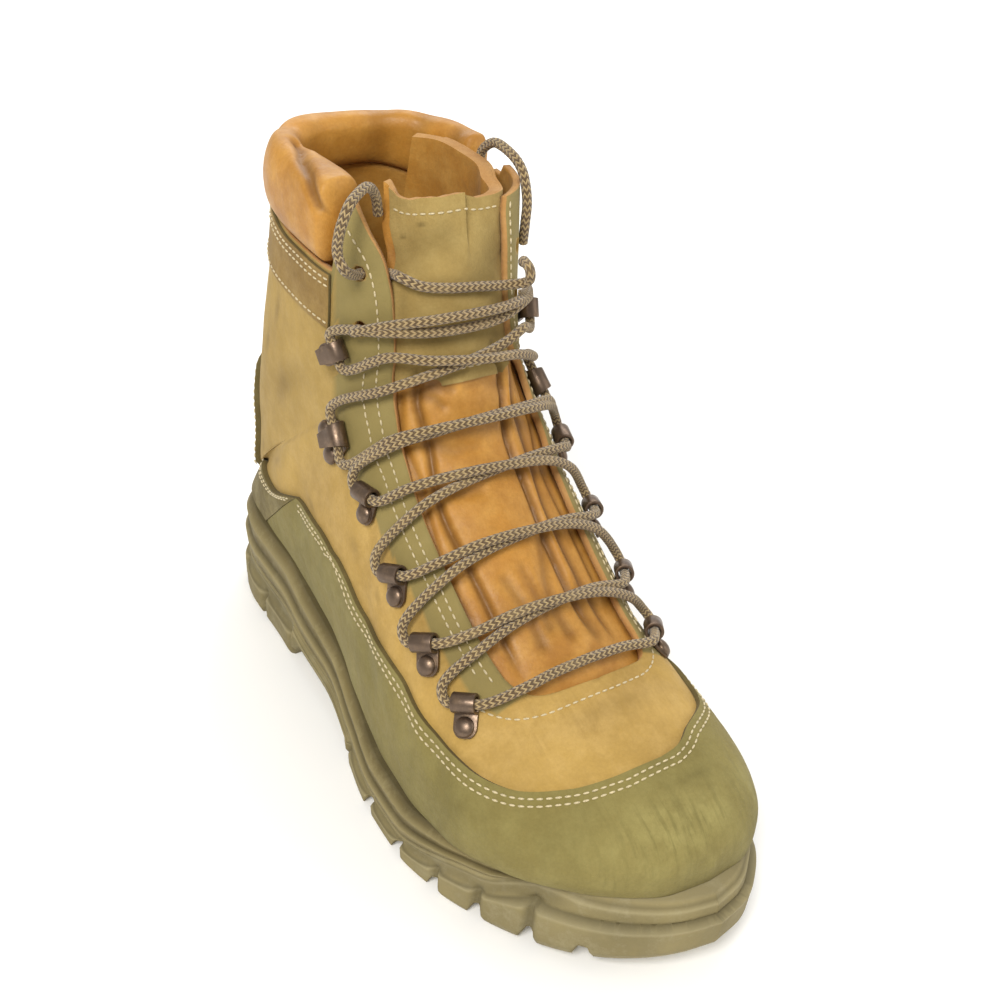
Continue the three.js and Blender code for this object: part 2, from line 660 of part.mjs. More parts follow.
// A slab of the sole between two height lines, its side stepped by the profile rows
// [share of the height, inset on the sides, inset round the toe].
function soleSlab({ alongs, low, high, profile, toeStart = SOLE_LENGTH }) {
  const toeBlend = (along) => THREE.MathUtils.smoothstep(along, toeStart, toeStart + 0.06 * SOLE_LENGTH);
  const loops = profile.map(([share, sideInset, toeInset]) => {
    const corner = (along, side) => {
      const inset = mix(sideInset, toeInset, toeBlend(along));
      const point = solePoint(along, side, inset);
      return place(point.along, point.lateral, mix(low(point.along), high(point.along), share));
    };
    const outer = alongs.map((along) => corner(along, 1));
    const inner = alongs.map((along) => corner(along, -1));
    return { outer, inner };
  });
  const last = alongs.length - 1;
  const triangles = [];
  for (let k = 0; k < loops.length - 1; k++)
    for (let i = 0; i < last; i++) {
      const [a, b] = [loops[k], loops[k + 1]];
      triangles.push(...quad(a.outer[i], b.outer[i], b.outer[i + 1], a.outer[i + 1]));
      triangles.push(...quad(a.inner[i + 1], b.inner[i + 1], b.inner[i], a.inner[i]));
    }
  const [bottom, top] = [loops[0], loops[loops.length - 1]];
  for (let i = 0; i < last; i++) {
    triangles.push(...quad(top.outer[i], top.inner[i], top.inner[i + 1], top.outer[i + 1]));
    triangles.push(...quad(bottom.inner[i], bottom.outer[i], bottom.outer[i + 1], bottom.inner[i + 1]));
  }
  for (let k = 0; k < loops.length - 1; k++) {
    const [a, b] = [loops[k], loops[k + 1]];
    triangles.push(...quad(a.inner[0], b.inner[0], b.outer[0], a.outer[0]));
    triangles.push(...quad(a.outer[last], b.outer[last], b.inner[last], a.inner[last]));
  }
  return solid(triangles);
}

// The midsole: a foam wedge whose side has two raised ribs.
const MIDSOLE_PROFILE = [
  [0, 2.2, 2.2],
  [0.12, 1.2, 1.2],
  [0.34, 0.6, 0.6],
  [0.44, 2.4, 2.4],
  [0.6, 2.0, 2.0],
  [0.78, 1.4, 1.4],
  [0.9, 3.0, 3.0],
  [1, 4.6, 4.6],
];
function makeMidsole() {
  const alongs = alongRows([...soleKnots, MIDSOLE_TIP]).filter((along) => along <= MIDSOLE_TIP);
  return soleSlab({
    alongs,
    low: (along) => Math.min(soleJoint(along) + CLEARANCE, soleTop(along) - 0.4),
    high: soleTop,
    profile: MIDSOLE_PROFILE,
  });
}

// A cutter for the tread: a bar under the sole, wider at its mouth, laid along a direction in plan.
function treadCutter({ along, lateral, length, turn, width, depth }) {
  const shape = new THREE.Shape();
  const floor = -TOE_SPRING;
  const bottom = ground(along);
  shape.moveTo(-width * 0.8, floor);
  shape.lineTo(width * 0.8, floor);
  shape.lineTo(width * 0.8, bottom);
  shape.lineTo(width * 0.38, bottom + depth);
  shape.lineTo(-width * 0.38, bottom + depth);
  shape.lineTo(-width * 0.8, bottom);
  shape.closePath();
  const bar = new THREE.ExtrudeGeometry(shape, { depth: length, bevelEnabled: false });
  const centre = place(along, lateral, 0);
  const direction = new THREE.Vector3(-Math.cos(turn), -Math.sin(turn), 0);
  const sideways = new THREE.Vector3(0, 0, 1).cross(direction).negate();
  bar.applyMatrix4(new THREE.Matrix4().makeBasis(sideways, new THREE.Vector3(0, 0, 1), direction));
  bar.translate(centre.x, centre.y, 0);
  return fromGeometry(bar);
}

// Where the lugs part on the outer and inner edge, as shares of SOLE_LENGTH.
const LUG_PARTINGS = [0.083, 0.177, 0.593, 0.673, 0.743, 0.803, 0.867, 0.923];
const LUG_REACH = 24;
const LUG_SWEEP = 0.35;
const OUTSOLE_PROFILE = [
  [0, 1.4, 1.6],
  [0.1, 0.4, 0.5],
  [0.56, 0, 0.2],
  [0.64, 0.4, 3.4],
  [0.9, 1.0, 4.6],
  [1, 2.0, 6.4],
];
function makeOutsole() {
  const breast = [HEEL_BLOCK_LENGTH, HEEL_BLOCK_LENGTH + BREAST_SLOPE];
  const alongs = alongRows([...soleKnots, MIDSOLE_TIP, ...breast, ARCH_FRONT - BREAST_SLOPE, ARCH_FRONT]);
  const high = soleJoint;
  let sole = soleSlab({ alongs, low: ground, high, profile: OUTSOLE_PROFILE, toeStart: 0.8 * SOLE_LENGTH });
  const cutters = [];
  for (const share of LUG_PARTINGS) {
    const along = share * SOLE_LENGTH;
    const depth = LUG_DEPTH;
    for (const side of [1, -1]) {
      const edge = side > 0 ? outerEdge(along) : innerEdge(along);
      const sweep = along < ARCH_FRONT ? -LUG_SWEEP : LUG_SWEEP;
      cutters.push(
        treadCutter({
          along: along + Math.sin(sweep) * 6,
          lateral: edge + side * 6,
          length: LUG_REACH,
          turn: side > 0 ? Math.PI + sweep : -sweep,
          width: LUG_GAP,
          depth,
        }),
      );
    }
  }
  for (const cutter of cutters) sole = sole.subtract(cutter);
  return sole;
}

// The insole: a board on the midsole, inside the upper's wall all round.
function makeInsole() {
  const rim = (side) =>
    stations
      .filter((station) => station >= 1 && station <= SEAM_START)
      .map((station) => lifted(station, side, -WALL - INSOLE_GAP));
  const [outer, inner] = [rim(1), rim(-1)];
  const along = (point) => SOLE_LENGTH / 2 - point.y;
  const layer = (rise) =>
    outer.map((_, i) =>
      [outer[i], inner[i]].map((point) => {
        const raised = point.clone();
        raised.z = soleTop(along(point)) + rise;
        return raised;
      }),
    );
  return thicken(layer(CLEARANCE + INSOLE_THICKNESS), layer(CLEARANCE));
}

// A frame on the skin for something fitted there: x towards the throat, turned by an angle towards the
// ankle, y along the facing and z away from the boot.
function seat(station, across, turn, lift) {
  const normal = skinNormal(station, across);
  const nearer = skinPoint(station, across - Math.sign(across) * NEAR).sub(skinPoint(station, across));
  const inward = nearer.addScaledVector(normal, -nearer.dot(normal)).normalize();
  inward.applyAxisAngle(normal, Math.sign(across) * turn);
  const sideways = new THREE.Vector3().crossVectors(normal, inward);
  const origin = lifted(station, across, lift);
  return new THREE.Matrix4().makeBasis(inward, sideways, normal).setPosition(origin);
}

// A dome rivet standing on a plate, and a bent strap given by its side view.
function rivet(x, y) {
  const dome = steps(2).map((share) => {
    const angle = (share * Math.PI) / 2;
    return new THREE.Vector2(RIVET_RADIUS * Math.cos(angle), RIVET_DOME * Math.sin(angle));
  });
  dome[dome.length - 1].x = 0;
  const foot = [new THREE.Vector2(0, -HOOK_PLATE / 2), new THREE.Vector2(RIVET_RADIUS, -HOOK_PLATE / 2)];
  const turned = new THREE.LatheGeometry([...foot, ...dome], 9);
  turned.rotateX(Math.PI / 2);
  turned.translate(x, y, HOOK_PLATE);
  return fromGeometry(turned);
}
function strap(outline, hole, width) {
  const shape = new THREE.Shape(outline.map(([x, z]) => new THREE.Vector2(x, z)));
  if (hole) shape.holes.push(new THREE.Path(hole.map(([x, z]) => new THREE.Vector2(x, z))));
  const bent = new THREE.ExtrudeGeometry(shape, { depth: width, bevelEnabled: false });
  bent.rotateX(Math.PI / 2);
  bent.translate(0, width / 2, 0);
  return fromGeometry(bent);
}
const arc = (x, z, radius, from, to, parts) =>
  steps(parts).map((share) => {
    const angle = THREE.MathUtils.degToRad(mix(from, to, share));
    return [x + radius * Math.cos(angle), z + radius * Math.sin(angle)];
  });

// A closed loop clip, an open hook and a lock hook, each lying on z = 0 with its rivets behind x = 0.
const LOOP_BORE = LACE_DIAMETER / 2 + LACE_PLAY;
const LOOP_RADIUS = LOOP_BORE + HOOK_PLATE;
const PLATE_TAIL = -RIVET_RADIUS * 2.1;
function loopClip() {
  const round = arc(LOOP_RADIUS, LOOP_RADIUS, LOOP_RADIUS, -90, 180, 7);
  const outline = [[PLATE_TAIL, 0], [LOOP_RADIUS, 0], ...round, [0, HOOK_PLATE], [PLATE_TAIL, HOOK_PLATE]];
  const hole = arc(LOOP_RADIUS, LOOP_RADIUS, LOOP_BORE, 360, 0, 8).slice(1);
  return strap(outline, hole, HOOK_WIDTH).add(rivet(PLATE_TAIL / 2 - 0.3, 0));
}
const HOOK_LIP = 1;
const HOOK_LIP_DROP = 1;
function openHook(width, rivets) {
  const outer = arc(HOOK_REACH / 2, LOOP_RADIUS, LOOP_RADIUS, -90, 90, 5);
  const inner = arc(HOOK_REACH / 2, LOOP_RADIUS, LOOP_BORE, 90, -90, 5);
  const lip = 2 * LOOP_RADIUS - HOOK_LIP_DROP;
  const end = [[-HOOK_LIP, lip], [-HOOK_LIP, lip - HOOK_PLATE]];
  const outline = [[PLATE_TAIL, 0], ...outer, ...end, ...inner, [PLATE_TAIL, HOOK_PLATE]];
  let hook = strap(outline, null, width);
  for (const y of rivets) hook = hook.add(rivet(PLATE_TAIL / 2 - 0.3, y));
  return hook;
}

// Where the lacing hardware sits. Columns: station, then across for the outer and the inner side.
const LOOPS = [
  [5.6, 0.27, -0.26],
  [6.7, 0.29, -0.28],
  [7.85, 0.31, -0.285],
  [9.7, 0.33, -0.29],
];
const LOCK = [12, 0.375, -0.3];
const HOOK = [16.6, 0.36, -0.27];
const LOOP_TURN = 0.7;
const RIVET_SPACING = 9.5;
const fitted = (shape, station, across, turn) => shape.transform(seat(station, across, turn, CLEARANCE).elements);
function makeHardware() {
  const made = {};
  const sides = [["lateral", 1], ["medial", 2]];
  for (const [side, column] of sides) {
    LOOPS.forEach((row, i) => {
      made[`${side}_loop_${i + 1}`] = fitted(loopClip(), row[0], row[column], LOOP_TURN);
    });
    const pair = [-RIVET_SPACING / 2, RIVET_SPACING / 2];
    made[`${side}_lock`] = fitted(openHook(RIVET_SPACING + 2 * RIVET_RADIUS - 1, pair), LOCK[0], LOCK[column], 0);
    made[`${side}_hook`] = fitted(openHook(HOOK_WIDTH, [0]), HOOK[0], HOOK[column], 0);
  }
  return made;
}

// The laces. A strand is a list of points; a rope is the solid round it.
const LACE_SIDES = 8;
function rope(points, perSpan) {
  const path = new THREE.CatmullRomCurve3(points, false, "centripetal");
  const count = (points.length - 1) * perSpan;
  const spots = steps(count).map((share) => path.getPoint(share));
  const tangents = steps(count).map((share) => path.getTangent(share));
  let side = new THREE.Vector3(0, 0, 1).cross(tangents[0]).normalize();
  const rings = spots.map((spot, i) => {
    side.addScaledVector(tangents[i], -side.dot(tangents[i])).normalize();
    const up = new THREE.Vector3().crossVectors(tangents[i], side);
    return steps(LACE_SIDES)
      .slice(0, -1)
      .map((share) =>
        spot
          .clone()
          .addScaledVector(side, (LACE_DIAMETER / 2) * Math.cos(2 * Math.PI * share))
          .addScaledVector(up, (LACE_DIAMETER / 2) * Math.sin(2 * Math.PI * share)),
      );
  });
  return tube(rings);
}

// The lace's way through one clip or hook, from its end near the toe to its end near the ankle. Past a
// turned clip it first clears the clip's corner.
const LACE_EXIT = 2.5;
const CORNER_REACH = 5.5;
function passage([station, outerAcross, innerAcross], side, turn, bore, width) {
  const frame = seat(station, side > 0 ? outerAcross : innerAcross, turn, CLEARANCE);
  const at = (x, y) => new THREE.Vector3(x, y, LOOP_RADIUS).applyMatrix4(frame);
  const run = at(bore, 1).sub(at(bore, -1));
  const ankle = Math.sign(run.y + run.z);
  const reach = width / 2 + LACE_EXIT;
  const points = [-1, 0, 1].map((end) => at(bore, ankle * end * reach));
  if (turn > 0) points.push(at(bore + CORNER_REACH, ankle * (reach + LACE_DIAMETER / 2)));
  return points;
}
const LOCK_WIDTH = RIVET_SPACING + 2 * RIVET_RADIUS - 1;
const passages = (side) => [
  ...LOOPS.map((row) => passage(row, side, LOOP_TURN, LOOP_RADIUS, HOOK_WIDTH)),
  passage(LOCK, side, 0, HOOK_REACH / 2, LOCK_WIDTH),
  passage(HOOK, side, 0, HOOK_REACH / 2, HOOK_WIDTH),
];
const LACE_LIFT = 4.6;
const BAR_SHARES = [0.16, 0.5, 0.84];
const BAR_REACH = 1.6;

// The stations between which the lace is inside each clip, lock and hook.
const HELD = [
  [5.35, 6.15],
  [6.45, 7.3],
  [7.6, 8.6],
  [9.4, 10.8],
  [11.1, 12.9],
  [16.2, 17],
];

// One bar over the throat from one side's edge to the other, at a height over the skin.
function bar(fromStation, toStation, side, lift) {
  return BAR_SHARES.map((share) => {
    const station = mix(fromStation, toStation, share);
    const here = share < 0.5 ? side : -side;
    const across = here * throatEdge(station, here) * Math.abs(1 - 2 * share) * BAR_REACH;
    return lifted(station, across, lift);
  });
}
function makeCrossings() {
  const ways = { outer: passages(1), inner: passages(-1) };
  const name = (side) => (side > 0 ? "outer" : "inner");
  const zigzag = (first, start) => {
    const points = [...first, ...ways[name(start)][0]];
    let side = start;
    for (let i = 0; i < ways.outer.length - 1; i++) {
      const over = side > 0 ? LACE_DIAMETER / 4 : 0;
      points.push(...bar(HELD[i][1], HELD[i + 1][0], side, LACE_LIFT + over));
      side = -side;
      points.push(...ways[name(side)][i + 1]);
    }
    const hole = TAB_HOLES[0];
    points.push(...bar(HELD[HELD.length - 1][1], hole[0], side, LACE_LIFT));
    points.push(lifted(hole[0], hole[side > 0 ? 2 : 1], LACE_LIFT - 0.4));
    return points;
  };
  const front = bar(HELD[0][0], HELD[0][0], -1, LACE_LIFT);
  return rope(zigzag(front, 1), 1).add(rope(zigzag([...front].reverse(), -1), 1));
}

// The loose loops at the top. Columns: along, lateral and height above the floor.
const OUTER_LOOP = [
  [103, 19.6, 208],
  [104.5, 22, 216],
  [108, 27, 220.5],
  [113, 34, 220],
  [116.5, 38.5, 218],
  [116.5, 41.5, 210],
  [116, 42, 202],
  [117.5, 40.5, 197],
];
const INNER_LOOP = [
  [80, -35.8, 209],
  [82, -35.8, 217],
  [87, -36, 221.5],
  [91.2, -36, 223],
  [103.5, -36, 221.5],
  [109.4, -36, 217.9],
  [113.5, -36, 209.1],
  [113.7, -36, 199.6],
  [112.1, -37, 192],
];
// The lace lying over the tongue's top. Columns: station, across and height over the skin.
const TOP_RUN = [
  [18.5, 0.235, -5.5],
  [18.4, 0.2, -4.5],
  [18.3, 0.165, 0.4],
  [17.95, 0.12, 1],
  [17.7, 0.055, 1.1],
  [17.55, -0.005, 1.4],
  [17.5, -0.07, 4],
  [17.7, -0.09, 11],
  [18.1, -0.08, 13],
  [18.3, -0.1, 8],
  [18.2, -0.13, 5],
];
const looseLace = (points) => rope(points, 2);

const leather = new THREE.MeshStandardMaterial({ color: 0xb89455, roughness: 0.85, metalness: 0 });
const suede = new THREE.MeshStandardMaterial({ color: 0x8c7f45, roughness: 0.9, metalness: 0 });
const lining = new THREE.MeshStandardMaterial({ color: 0xc98d42, roughness: 0.55, metalness: 0 });
const foam = new THREE.MeshStandardMaterial({ color: 0x8a7a4b, roughness: 0.7, metalness: 0 });
const rubber = new THREE.MeshStandardMaterial({ color: 0x93855f, roughness: 0.75, metalness: 0 });
const metal = new THREE.MeshStandardMaterial({ color: 0x5a4a3c, roughness: 0.35, metalness: 0.9 });
const braid = new THREE.MeshStandardMaterial({ color: 0x8f7550, roughness: 0.8, metalness: 0 });

const boot = new THREE.Group();
boot.name = "combat_boot";
boot.add(toMesh(makeOutsole(), "outsole", rubber));
boot.add(toMesh(makeMidsole(), "midsole", foam));
boot.add(toMesh(makeInsole(), "insole", lining));
boot.add(toMesh(makeUpper(), "upper", leather));
boot.add(toMesh(makeRand(), "rand", suede));
boot.add(toMesh(makeCounter(), "heel_counter", suede));
boot.add(toMesh(makeBand(), "collar_band", leather));
boot.add(toMesh(makeCollar(), "collar", lining));
boot.add(toMesh(makeTongue(), "tongue", suede));

for (const [name, shape] of Object.entries(makeHardware())) boot.add(toMesh(shape, name, metal));
boot.add(toMesh(makeCrossings(), "lace_crossings", braid));
boot.add(toMesh(looseLace(OUTER_LOOP.map((row) => place(...row))), "lace_outer_loop", braid));
boot.add(toMesh(looseLace(INNER_LOOP.map((row) => place(...row))), "lace_inner_loop", braid));
boot.add(toMesh(looseLace(TOP_RUN.map((row) => lifted(...row))), "lace_top_run", braid));

// The origin is the middle of the boot's box, on the floor.
const box = new THREE.Box3().setFromObject(boot);
const middle = box.getCenter(new THREE.Vector3());
for (const mesh of boot.children) mesh.geometry.translate(-middle.x, -middle.y, -box.min.z);

export default boot;
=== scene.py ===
"""A right-foot mountain combat boot in nubuck and suede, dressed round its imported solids."""

import math

import bmesh
import bpy
import numpy as np
from mathutils import Matrix, Vector


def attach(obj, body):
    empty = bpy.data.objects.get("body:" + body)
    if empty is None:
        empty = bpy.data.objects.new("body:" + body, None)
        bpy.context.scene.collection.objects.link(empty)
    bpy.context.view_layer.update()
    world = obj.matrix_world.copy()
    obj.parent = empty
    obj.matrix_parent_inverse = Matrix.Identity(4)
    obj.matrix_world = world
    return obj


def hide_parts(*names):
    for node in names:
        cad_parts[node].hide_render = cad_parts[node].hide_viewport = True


bl_info = {
    "name": "Combat boot",
    "version": (1, 0, 0),
    "blender": (4, 5, 0),
    "location": "View3D > Sidebar > Boot",
    "description": "Builds a laced leather boot piece by piece over its solids",
    "category": "Object",
}

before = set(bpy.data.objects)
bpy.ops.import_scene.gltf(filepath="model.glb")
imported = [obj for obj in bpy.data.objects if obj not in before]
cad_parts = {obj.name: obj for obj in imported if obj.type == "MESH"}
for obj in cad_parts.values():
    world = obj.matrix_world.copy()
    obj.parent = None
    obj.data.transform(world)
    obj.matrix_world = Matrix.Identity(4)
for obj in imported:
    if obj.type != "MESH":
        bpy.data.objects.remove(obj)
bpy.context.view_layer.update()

MM = 0.001


# Sizes and colours


class BootSizes(bpy.types.PropertyGroup):
    sole_length: bpy.props.FloatProperty(
        name="Sole length", description="Heel to toe of the sole", default=0.300, unit="LENGTH")
    ball_width: bpy.props.FloatProperty(
        name="Ball width", description="Widest part of the sole", default=0.117, unit="LENGTH")
    heel_width: bpy.props.FloatProperty(
        name="Heel width", description="Width of the heel end", default=0.089, unit="LENGTH")
    shaft_width: bpy.props.FloatProperty(
        name="Shaft width", description="Width scale of the shaft", default=0.078, unit="LENGTH")
    instep_height: bpy.props.FloatProperty(
        name="Instep height", description="Ridge height at the ankle bend", default=0.131, unit="LENGTH")
    shaft_rise: bpy.props.FloatProperty(
        name="Shaft rise", description="From the ankle bend to the top", default=0.084, unit="LENGTH")
    wall: bpy.props.FloatProperty(
        name="Wall", description="Thickness of the upper", default=0.0026, unit="LENGTH")
    lace_diameter: bpy.props.FloatProperty(
        name="Lace", description="Diameter of the round braid", default=0.0037, unit="LENGTH")
    stitch_pitch: bpy.props.FloatProperty(
        name="Stitch pitch", description="From one stitch to the next", default=0.0031, unit="LENGTH")


def colour(name, words, value):
    return bpy.props.FloatVectorProperty(
        name=name, description=words, default=value, subtype="COLOR", min=0, max=1)


class BootColours(bpy.types.PropertyGroup):
    nubuck: colour("Nubuck", "Vamp and quarters", (0.48, 0.305, 0.078))
    nubuck_dark: colour("Nubuck shade", "Rubbed and damp nubuck", (0.27, 0.165, 0.045))
    facing: colour("Facing", "Olive leather of the facings and tabs", (0.29, 0.225, 0.077))
    suede: colour("Suede", "Rand and tongue facing", (0.235, 0.19, 0.062))
    suede_light: colour("Suede nap", "Brushed suede", (0.31, 0.27, 0.1))
    counter: colour("Counter suede", "Heel counter", (0.17, 0.13, 0.042))
    collar: colour("Collar leather", "Padded collar", (0.53, 0.245, 0.034))
    lining: colour("Lining", "Inside of the boot", (0.5, 0.24, 0.04))
    raw_edge: colour("Raw edge", "Cut edge of the leather", (0.5, 0.27, 0.09))
    foam: colour("Midsole", "Foam wedge", (0.17, 0.13, 0.048))
    rubber: colour("Outsole", "Lugged rubber", (0.27, 0.22, 0.1))
    metal: colour("Hardware", "Dark brown metal", (0.15, 0.105, 0.075))
    thread: colour("Thread", "Stitches", (0.66, 0.55, 0.33))
    braid_light: colour("Braid light", "Lace's light yarn", (0.46, 0.33, 0.155))
    braid_dark: colour("Braid dark", "Lace's dark yarn", (0.13, 0.08, 0.036))


# The last

CLEARANCE = 0.3 * MM
SKIN_GAP = 0.7 * MM
TONGUE_GAP = 1.1 * MM
RAND_THICKNESS = 1.8 * MM
COUNTER_THICKNESS = 2.3 * MM
BAND_THICKNESS = 1.5 * MM
HEEL_STACK = 46 * MM
BALL_STACK = 25 * MM
TOE_STACK = 35 * MM
# Where the box's middle lies from the middle of the sole's length and the last's own line.
CENTRE = Vector((-0.476, 0.1, 0)) * MM

# Share of the length, share of the stack in the last column.
SOLE_TOP = (
    (0.0, 1.0, HEEL_STACK), (0.25, 0.99, HEEL_STACK), (0.34, 0.87, HEEL_STACK), (0.42, 0.73, HEEL_STACK),
    (0.51, 1.14, BALL_STACK), (0.62, 0.96, BALL_STACK), (0.7, 1.0, BALL_STACK), (0.78, 0.84, TOE_STACK),
    (0.85, 0.95, TOE_STACK), (1.0, 1.03, TOE_STACK),
)

# Ridge along and height, extra rise; base along, base rise; crown; outer and inner widest; outer and inner
# foot; where it is widest; squareness. Lengths are shares of the sizes named in the last's own method.
TOE_SECTIONS = (
    (0.96, 0.328, 0, 0.958, 0, -0.103, -0.103, -0.103, -0.103, -0.103, 0.6, 2.3),
    (0.952, 0.385, 0, 0.953, 0, -0.103, 0.026, -0.231, 0.017, -0.222, 0.72, 2.3),
    (0.93, 0.435, 0, 0.933, 0, -0.103, 0.137, -0.329, 0.124, -0.316, 0.78, 2.3),
    (0.89, 0.477, 0, 0.89, 0, -0.094, 0.274, -0.406, 0.261, -0.393, 0.8, 2.3),
    (0.827, 0.525, 0, 0.827, 0, -0.077, 0.389, -0.449, 0.38, -0.44, 0.8, 2.3),
    (0.753, 0.595, 0, 0.753, 0, -0.051, 0.444, -0.457, 0.436, -0.449, 0.78, 2.3),
    (0.683, 0.69, 0, 0.673, 0, -0.026, 0.449, -0.44, 0.444, -0.423, 0.76, 2.35),
    (0.62, 0.8, 0, 0.587, 0, -0.009, 0.433, -0.425, 0.427, -0.376, 0.72, 2.6),
    (0.563, 0.9, 0, 0.483, 0, -0.004, 0.407, -0.41, 0.385, -0.316, 0.66, 2.8),
)
INSTEP_SECTIONS = (
    (0.525, 0.97, 0, 0.373, 0, -0.013, 0.57, -0.6, 0.444, -0.354, 0.6, 2.9),
    (0.5, 1, 0.04, 0.26, 0, -0.026, 0.55, -0.61, 0.433, -0.376, 0.55, 2.9),
    (0.482, 1, 0.145, 0.15, 0, -0.032, 0.525, -0.6, 0.416, -0.388, 0.52, 2.8),
    (0.47, 1, 0.245, 0.067, 0, -0.038, 0.52, -0.58, 0.365, -0.325, 0.5, 2.7),
    (0.462, 1, 0.335, 0.025, 0, -0.038, 0.51, -0.565, 0.215, -0.185, 0.5, 2.6),
)
SHAFT_SECTIONS = (
    (0.457, 1, 0.368, 0.015, 0, -0.032, 0.495, -0.56, 0, 0, 0.5, 2.6),
    (0.453, 1, 0.418, 0.014, 0.08, -0.026, 0.495, -0.555, 0, 0, 0.5, 2.6),
    (0.447, 1, 0.495, 0.014, 0.182, -0.032, 0.49, -0.55, 0, 0, 0.5, 2.6),
    (0.44, 1, 0.615, 0.022, 0.307, -0.038, 0.49, -0.545, -0.013, -0.013, 0.5, 2.6),
    (0.433, 1, 0.736, 0.037, 0.455, -0.045, 0.485, -0.54, -0.026, -0.026, 0.5, 2.6),
    (0.425, 1, 0.846, 0.057, 0.619, -0.051, 0.48, -0.54, -0.038, -0.038, 0.5, 2.6),
    (0.417, 1, 0.934, 0.08, 0.795, -0.051, 0.475, -0.54, -0.045, -0.045, 0.5, 2.6),
    (0.41, 1, 1, 0.1, 1, -0.051, 0.47, -0.54, -0.045, -0.045, 0.5, 2.6),
)
SEAM_START = len(TOE_SECTIONS) + len(INSTEP_SECTIONS)
TOP = SEAM_START + len(SHAFT_SECTIONS) - 1
BACK_SQUARENESS = 2.6
NEAR = 0.01
CAP_STATION = 3.55
TAB_START = SEAM_START + 3


def curve(x, y):
    """A monotone cubic through the points, for whole arrays at once."""
    x, y = np.array(x, float), np.array(y, float)
    width, last = np.diff(x), len(x) - 1
    slope = np.diff(y) / width
    tangent = np.concatenate([slope[:1], np.zeros(last - 1), slope[-1:]])
    for i in range(1, last):
        before, after = slope[i - 1], slope[i]
        if before * after > 0:
            a, b = width[i - 1], width[i]
            tangent[i] = 3 * (a + b) / ((2 * b + a) / before + (b + 2 * a) / after)

    def at(value):
        value = np.clip(value, x[0], x[-1])
        i = np.clip(np.searchsorted(x, value, side="left") - 1, 0, last - 1)
        t = (value - x[i]) / width[i]
        return (y[i] * (2 * t**3 - 3 * t**2 + 1) + tangent[i] * width[i] * (t**3 - 2 * t**2 + t)
                + y[i + 1] * (3 * t**2 - 2 * t**3) + tangent[i + 1] * width[i] * (t**3 - t**2))

    return at


def columns(rows, *numbers):
    return [[row[n] for row in rows] for n in numbers]


def mix(a, b, share):
    return a + (b - a) * share


def smooth(value, low, high):
    t = np.clip((np.asarray(value, float) - low) / (high - low), 0, 1)
    return t * t * (3 - 2 * t)


def bump(value, middle, width):
    return np.exp(-(((np.asarray(value, float) - middle) / width) ** 2))


def unit(vectors):
    return vectors / np.maximum(np.linalg.norm(vectors, axis=-1, keepdims=True), 1e-12)


